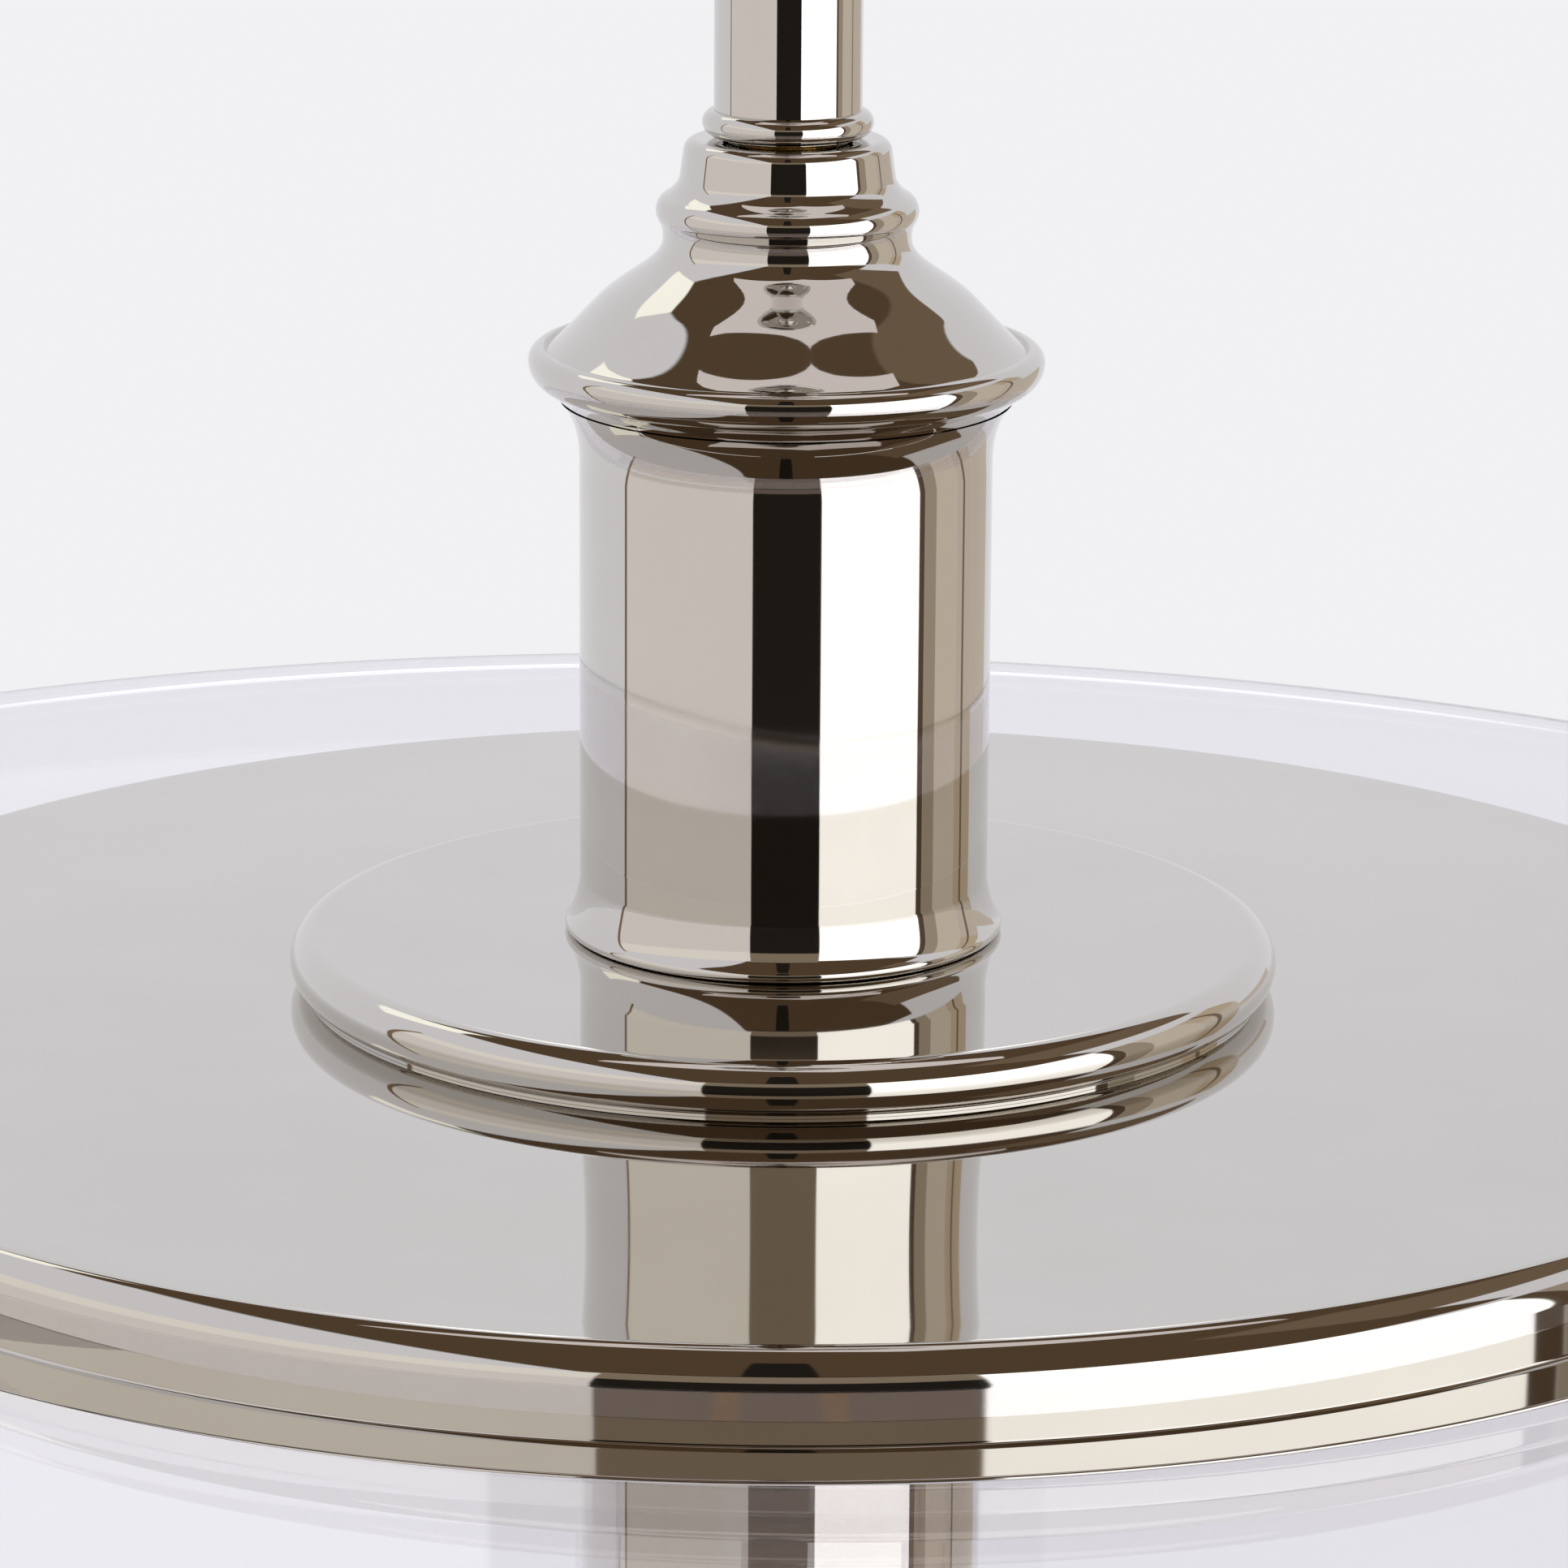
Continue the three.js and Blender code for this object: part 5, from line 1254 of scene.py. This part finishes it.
def smooth_route(points):
    """A curve through the points, each stretch a cubic that leaves along its neighbours' direction."""
    points = [Vector(p) for p in points]
    ends = [2 * points[0] - points[1]] + points + [2 * points[-1] - points[-2]]
    route = []
    for a, b, c, d in zip(ends, ends[1:], ends[2:], ends[3:]):
        for i in range(FLEX_STEPS):
            t = i / FLEX_STEPS
            route.append(0.5 * (2 * b + (c - a) * t + (2 * a - 5 * b + 4 * c - d) * t * t
                                + (3 * b - a - 3 * c + d) * t ** 3))
    return route + [points[-1]]


# %% Flex
FLEX_RADIUS = 2.25
FLEX_SIDES = 20
FLEX_BEND = 10


def flex(name, points):
    """A round sleeve along the route, with the weave's own map along its length and girth."""
    route = smooth_route(points)
    shape = bmesh.new()
    weave = shape.loops.layers.uv.new("weave")
    girth = 2 * math.pi * FLEX_RADIUS * MM
    turns = [2 * math.pi * j / FLEX_SIDES for j in range(FLEX_SIDES)]
    across = Vector((1, 0, 0))
    rings, lengths, length = [], [], 0
    for i, point in enumerate(route):
        along = (route[min(i + 1, len(route) - 1)] - route[max(i - 1, 0)]).normalized()
        length += (point - route[i - 1]).length * MM if i else 0
        lengths.append(length)
        other = along.cross(across)
        spokes = [across * math.cos(a) + other * math.sin(a) for a in turns]
        rings.append([shape.verts.new((point + FLEX_RADIUS * spoke) * MM) for spoke in spokes])
    for i, (near, far) in enumerate(zip(rings, rings[1:])):
        for j in range(FLEX_SIDES):
            k = (j + 1) % FLEX_SIDES
            face = shape.faces.new((near[j], near[k], far[k], far[j]))
            uvs = ((j, i), (j + 1, i), (j + 1, i + 1), (j, i + 1))
            for loop, (u, v) in zip(face.loops, uvs):
                loop[weave].uv = (girth * u / FLEX_SIDES, lengths[v])
    shape.faces.new(rings[0])
    shape.faces.new(rings[-1])
    mesh = bpy.data.meshes.new(name)
    shape.to_mesh(mesh)
    shape.free()
    return finish_mesh(name, mesh, flex_sleeve)


for node_name, route, bodies, bend_start, bend_end in (
    ("upper_flex", UPPER_ROUTE, ("ceiling", "gimbal"), PIVOT + FLEX_BEND, PIVOT),
    ("lower_flex", LOWER_ROUTE, ("gimbal", "pendant"), PIVOT, PIVOT - FLEX_BEND),
):
    piece = flex(node_name + "_braided", route)
    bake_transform(piece)
    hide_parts(node_name)
    print(piece.name, "bends between", " and ".join(bodies))

# %% [markdown]
# ## Pieces that keep their solid
# What is hidden or flat, such as the strap, the nuts and the nipples, already has its true shape as a
# solid. It is not made again and only takes a better finish.

# %% Pieces that keep their solid
CARRIED = {
    zinc: ("mounting_strap", "canopy_stud_a", "canopy_stud_b", "canopy_washer", "canopy_nut",
           "neck_washer", "neck_locknut", "lampholder_locknut"),
    brass: ("canopy_nipple", "stem_bush", "neck_nipple"),
    porcelain: ("terminal_block",),
}
for material, names in CARRIED.items():
    for name in names:
        frame["nodes"][name].material_slots[0].material = material
print("refinished", sum(len(names) for names in CARRIED.values()), "solids")

# %% [markdown]
# ## Studio
# A mirror is only as good as what it mirrors. Two soft boxes stand left and right of the camera with a
# dark gap between them, a pale backdrop stands behind, and a light panel hangs under a brown ceiling.
# The upright things are painted on the sky by azimuth and elevation, in degrees: azimuth 0 is towards
# the camera and 90 to its right. The ceiling's parts lie on a level sheet, in metres to the right and
# away for each metre of height. Light is written in linear values, because a soft box is brighter than
# white paper. Only mirrored rays see the sky; for all others it is as pale as the ground.

# %% Studio patches
GROUND = linear("#F1F1F3")
BACKDROP = (0.84, 0.84, 0.88, 1)
OVERHEAD = [
    # right from and to, away from and to, softness, colour
    (-0.65, 1.12, -2.2, 1.0, 0.02, (0.11, 0.07, 0.04)),
    (0.3, 1.7, -2.0, -0.2, 0.02, (0.11, 0.07, 0.04)),
    (0.55, 1.12, -0.3, 1.0, 0.02, (0.2, 0.14, 0.09)),
]
UPRIGHT = [
    # azimuth from and to, elevation from and to, softness, colour
    (175, 180, 23, 33, 1, (2.0, 1.92, 1.86)),
    (-180, -175, 23, 33, 1, (2.0, 1.92, 1.86)),
    (-150, -130, 36, 50, 0.5, (1.4, 1.4, 1.28)),
    (-101, -99, -40, 30, 0.3, (0.25, 0.17, 0.1)),
    (-99, -18, -40, 28, 0.3, (0.86, 0.81, 0.78)),
    (-99, -18, 16, 28, 1, (1.0, 0.95, 0.89)),
    (-99, -18, -40, -18, 1, (0.7, 0.66, 0.62)),
    (-18, 20, -40, 31, 0.2, (0.018, 0.015, 0.012)),
    (-4, 4, 31, 60, 0.2, (0.018, 0.015, 0.012)),
    (-18, 20, 17, 30, 0.2, (0.28, 0.22, 0.16)),
    (-18, 20, -40, -18, 0.5, (0.15, 0.115, 0.1)),
    (20, 80, -40, 27, 0.4, (1.9, 1.9, 1.88)),
    (80, 84, -40, 27, 0.3, (0.12, 0.08, 0.05)),
    (84, 93, -40, 27, 0.5, (0.42, 0.35, 0.27)),
    (93, 111, -40, 27, 0.5, (0.70, 0.62, 0.52)),
    (111, 128, -40, 27, 0.5, (0.64, 0.57, 0.49)),
    (128, 150, -40, 2, 0.5, (0.64, 0.57, 0.49)),
    (111, 128, 10, 27, 0.5, (0.6, 0.49, 0.36)),
    (117, 119, -40, 27, 0.3, (0.22, 0.16, 0.11)),
]
print("studio of", len(OVERHEAD), "overhead and", len(UPRIGHT), "upright patches")

# %% Studio sky
HORIZON = 0.01


def soft_step(tree, value, low, high, soft):
    """1 between two bounds and 0 outside them, with soft edges."""
    entry = add(tree, "ShaderNodeMapRange", {
        "Value": value, "From Min": low - soft, "From Max": low + soft}, interpolation_type="SMOOTHSTEP")
    leave = add(tree, "ShaderNodeMapRange", {
        "Value": value, "From Min": high - soft, "From Max": high + soft, "To Min": 1, "To Max": 0},
        interpolation_type="SMOOTHSTEP")
    both = add(tree, "ShaderNodeMath", {0: entry.outputs[0], 1: leave.outputs[0]}, operation="MULTIPLY")
    return both.outputs[0]


def sky_angles(tree, axes):
    """Azimuth and elevation of the line of sight, in degrees."""
    towards = add(tree, "ShaderNodeMath", {0: axes["Y"], 1: -1}, operation="MULTIPLY")
    turn = add(tree, "ShaderNodeMath", {0: axes["X"], 1: towards.outputs[0]}, operation="ARCTAN2")
    rise = add(tree, "ShaderNodeMath", {0: axes["Z"]}, operation="ARCSINE")
    return [add(tree, "ShaderNodeMath", {0: angle.outputs[0]}, operation="DEGREES").outputs[0]
            for angle in (turn, rise)]


def sheet_places(tree, axes):
    """Where the line of sight meets a level sheet, to the right and away, for one metre of height."""
    height = add(tree, "ShaderNodeMath", {0: axes["Z"], 1: HORIZON}, operation="MAXIMUM")
    return [add(tree, "ShaderNodeMath", {0: axis, 1: height.outputs[0]}, operation="DIVIDE").outputs[0]
            for axis in (axes["X"], axes["Y"])]


def studio_world():
    world = bpy.data.worlds.new("studio")
    world.use_nodes = True
    tree = world.node_tree
    tree.nodes.clear()
    sight = add(tree, "ShaderNodeTexCoord").outputs["Generated"]
    axes = add(tree, "ShaderNodeSeparateXYZ", {0: sight}).outputs
    painted = BACKDROP
    for places, patches in ((sheet_places(tree, axes), OVERHEAD), (sky_angles(tree, axes), UPRIGHT)):
        for left, right, low, high, soft, colour in patches:
            mask = add(tree, "ShaderNodeMath", {
                0: soft_step(tree, places[0], left, right, soft),
                1: soft_step(tree, places[1], low, high, soft)}, operation="MULTIPLY")
            painted = add(tree, "ShaderNodeMix", {
                0: mask.outputs[0], 6: painted, 7: (*colour, 1)}, data_type="RGBA").outputs[2]
    rays = add(tree, "ShaderNodeLightPath")
    mirrored = add(tree, "ShaderNodeMix", {
        0: rays.outputs["Glossy Depth"], 6: GROUND, 7: painted}, data_type="RGBA")
    shown = add(tree, "ShaderNodeBackground", {"Color": mirrored.outputs[2], "Strength": 1})
    add(tree, "ShaderNodeOutputWorld", {"Surface": shown.outputs[0]})
    return world


bpy.context.scene.world = studio_world()
print("sky painted with", len(bpy.context.scene.world.node_tree.nodes), "nodes")

# %% [markdown]
# ## Light panel and floor
# The panel hangs so close that the bell and the disc see it in different places, so it is a real sheet
# with six corners and not a patch of the sky. The floor is a wide pale sheet below the glass, which
# glows evenly like a lit paper roll and can't be seen from below or in the metal.

# %% Light panel
PANEL_COLOUR = (0.83, 0.76, 0.75, 1)
PANEL_HEIGHT = 260
PANEL_CORNERS = [(98, -176), (390, 20), (325, 143), (0, 285), (-286, 20), (-330, -50)]


def stage_sheet(name, corners, height):
    """A level sheet that belongs to the studio, in millimetres, with an emptied material to fill."""
    mesh = bpy.data.meshes.new(name)
    mesh.from_pydata([(x * MM, y * MM, height * MM) for x, y in corners], [], [range(len(corners))])
    material = bpy.data.materials.new(name)
    material.use_nodes = True
    material.node_tree.nodes.clear()
    mesh.materials.append(material)
    sheet = add_object(name, mesh)
    sheet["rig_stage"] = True
    return sheet, material.node_tree


panel, panel_tree = stage_sheet("light panel", PANEL_CORNERS, PANEL_HEIGHT)
panel.visible_camera = False
panel.visible_diffuse = False
panel_glow = add(panel_tree, "ShaderNodeEmission", {"Color": PANEL_COLOUR, "Strength": 1})
add(panel_tree, "ShaderNodeOutputMaterial", {"Surface": panel_glow.outputs[0]})
print("light panel with", len(PANEL_CORNERS), "corners at", PANEL_HEIGHT, "mm")

# %% Floor
FLOOR_DROP = 150
FLOOR_REACH = 20000


def floor():
    far = FLOOR_REACH
    corners = [(-far, -far), (far, -far), (far, far), (-far, far)]
    sheet, tree = stage_sheet("pale floor", corners, glass_low - FLOOR_DROP)
    sheet.visible_glossy = False
    facing = add(tree, "ShaderNodeNewGeometry").outputs["Backfacing"]
    mirrored = add(tree, "ShaderNodeLightPath").outputs["Glossy Depth"]
    unseen = add(tree, "ShaderNodeMath", {0: facing, 1: mirrored}, operation="MAXIMUM")
    pale = add(tree, "ShaderNodeEmission", {"Color": GROUND, "Strength": 1})
    clear = add(tree, "ShaderNodeBsdfTransparent")
    mixed = add(tree, "ShaderNodeMixShader", {
        0: unseen.outputs[0], 1: pale.outputs[0], 2: clear.outputs[0]})
    add(tree, "ShaderNodeOutputMaterial", {"Surface": mixed.outputs[0]})


floor()
print("floor laid")

# %% [markdown]
# ## Size
# The size of the dressed model is printed from the box round its shown pieces.

# %% Size
low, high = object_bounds()
print("visual size:", [round(x, 4) for x in high - low])
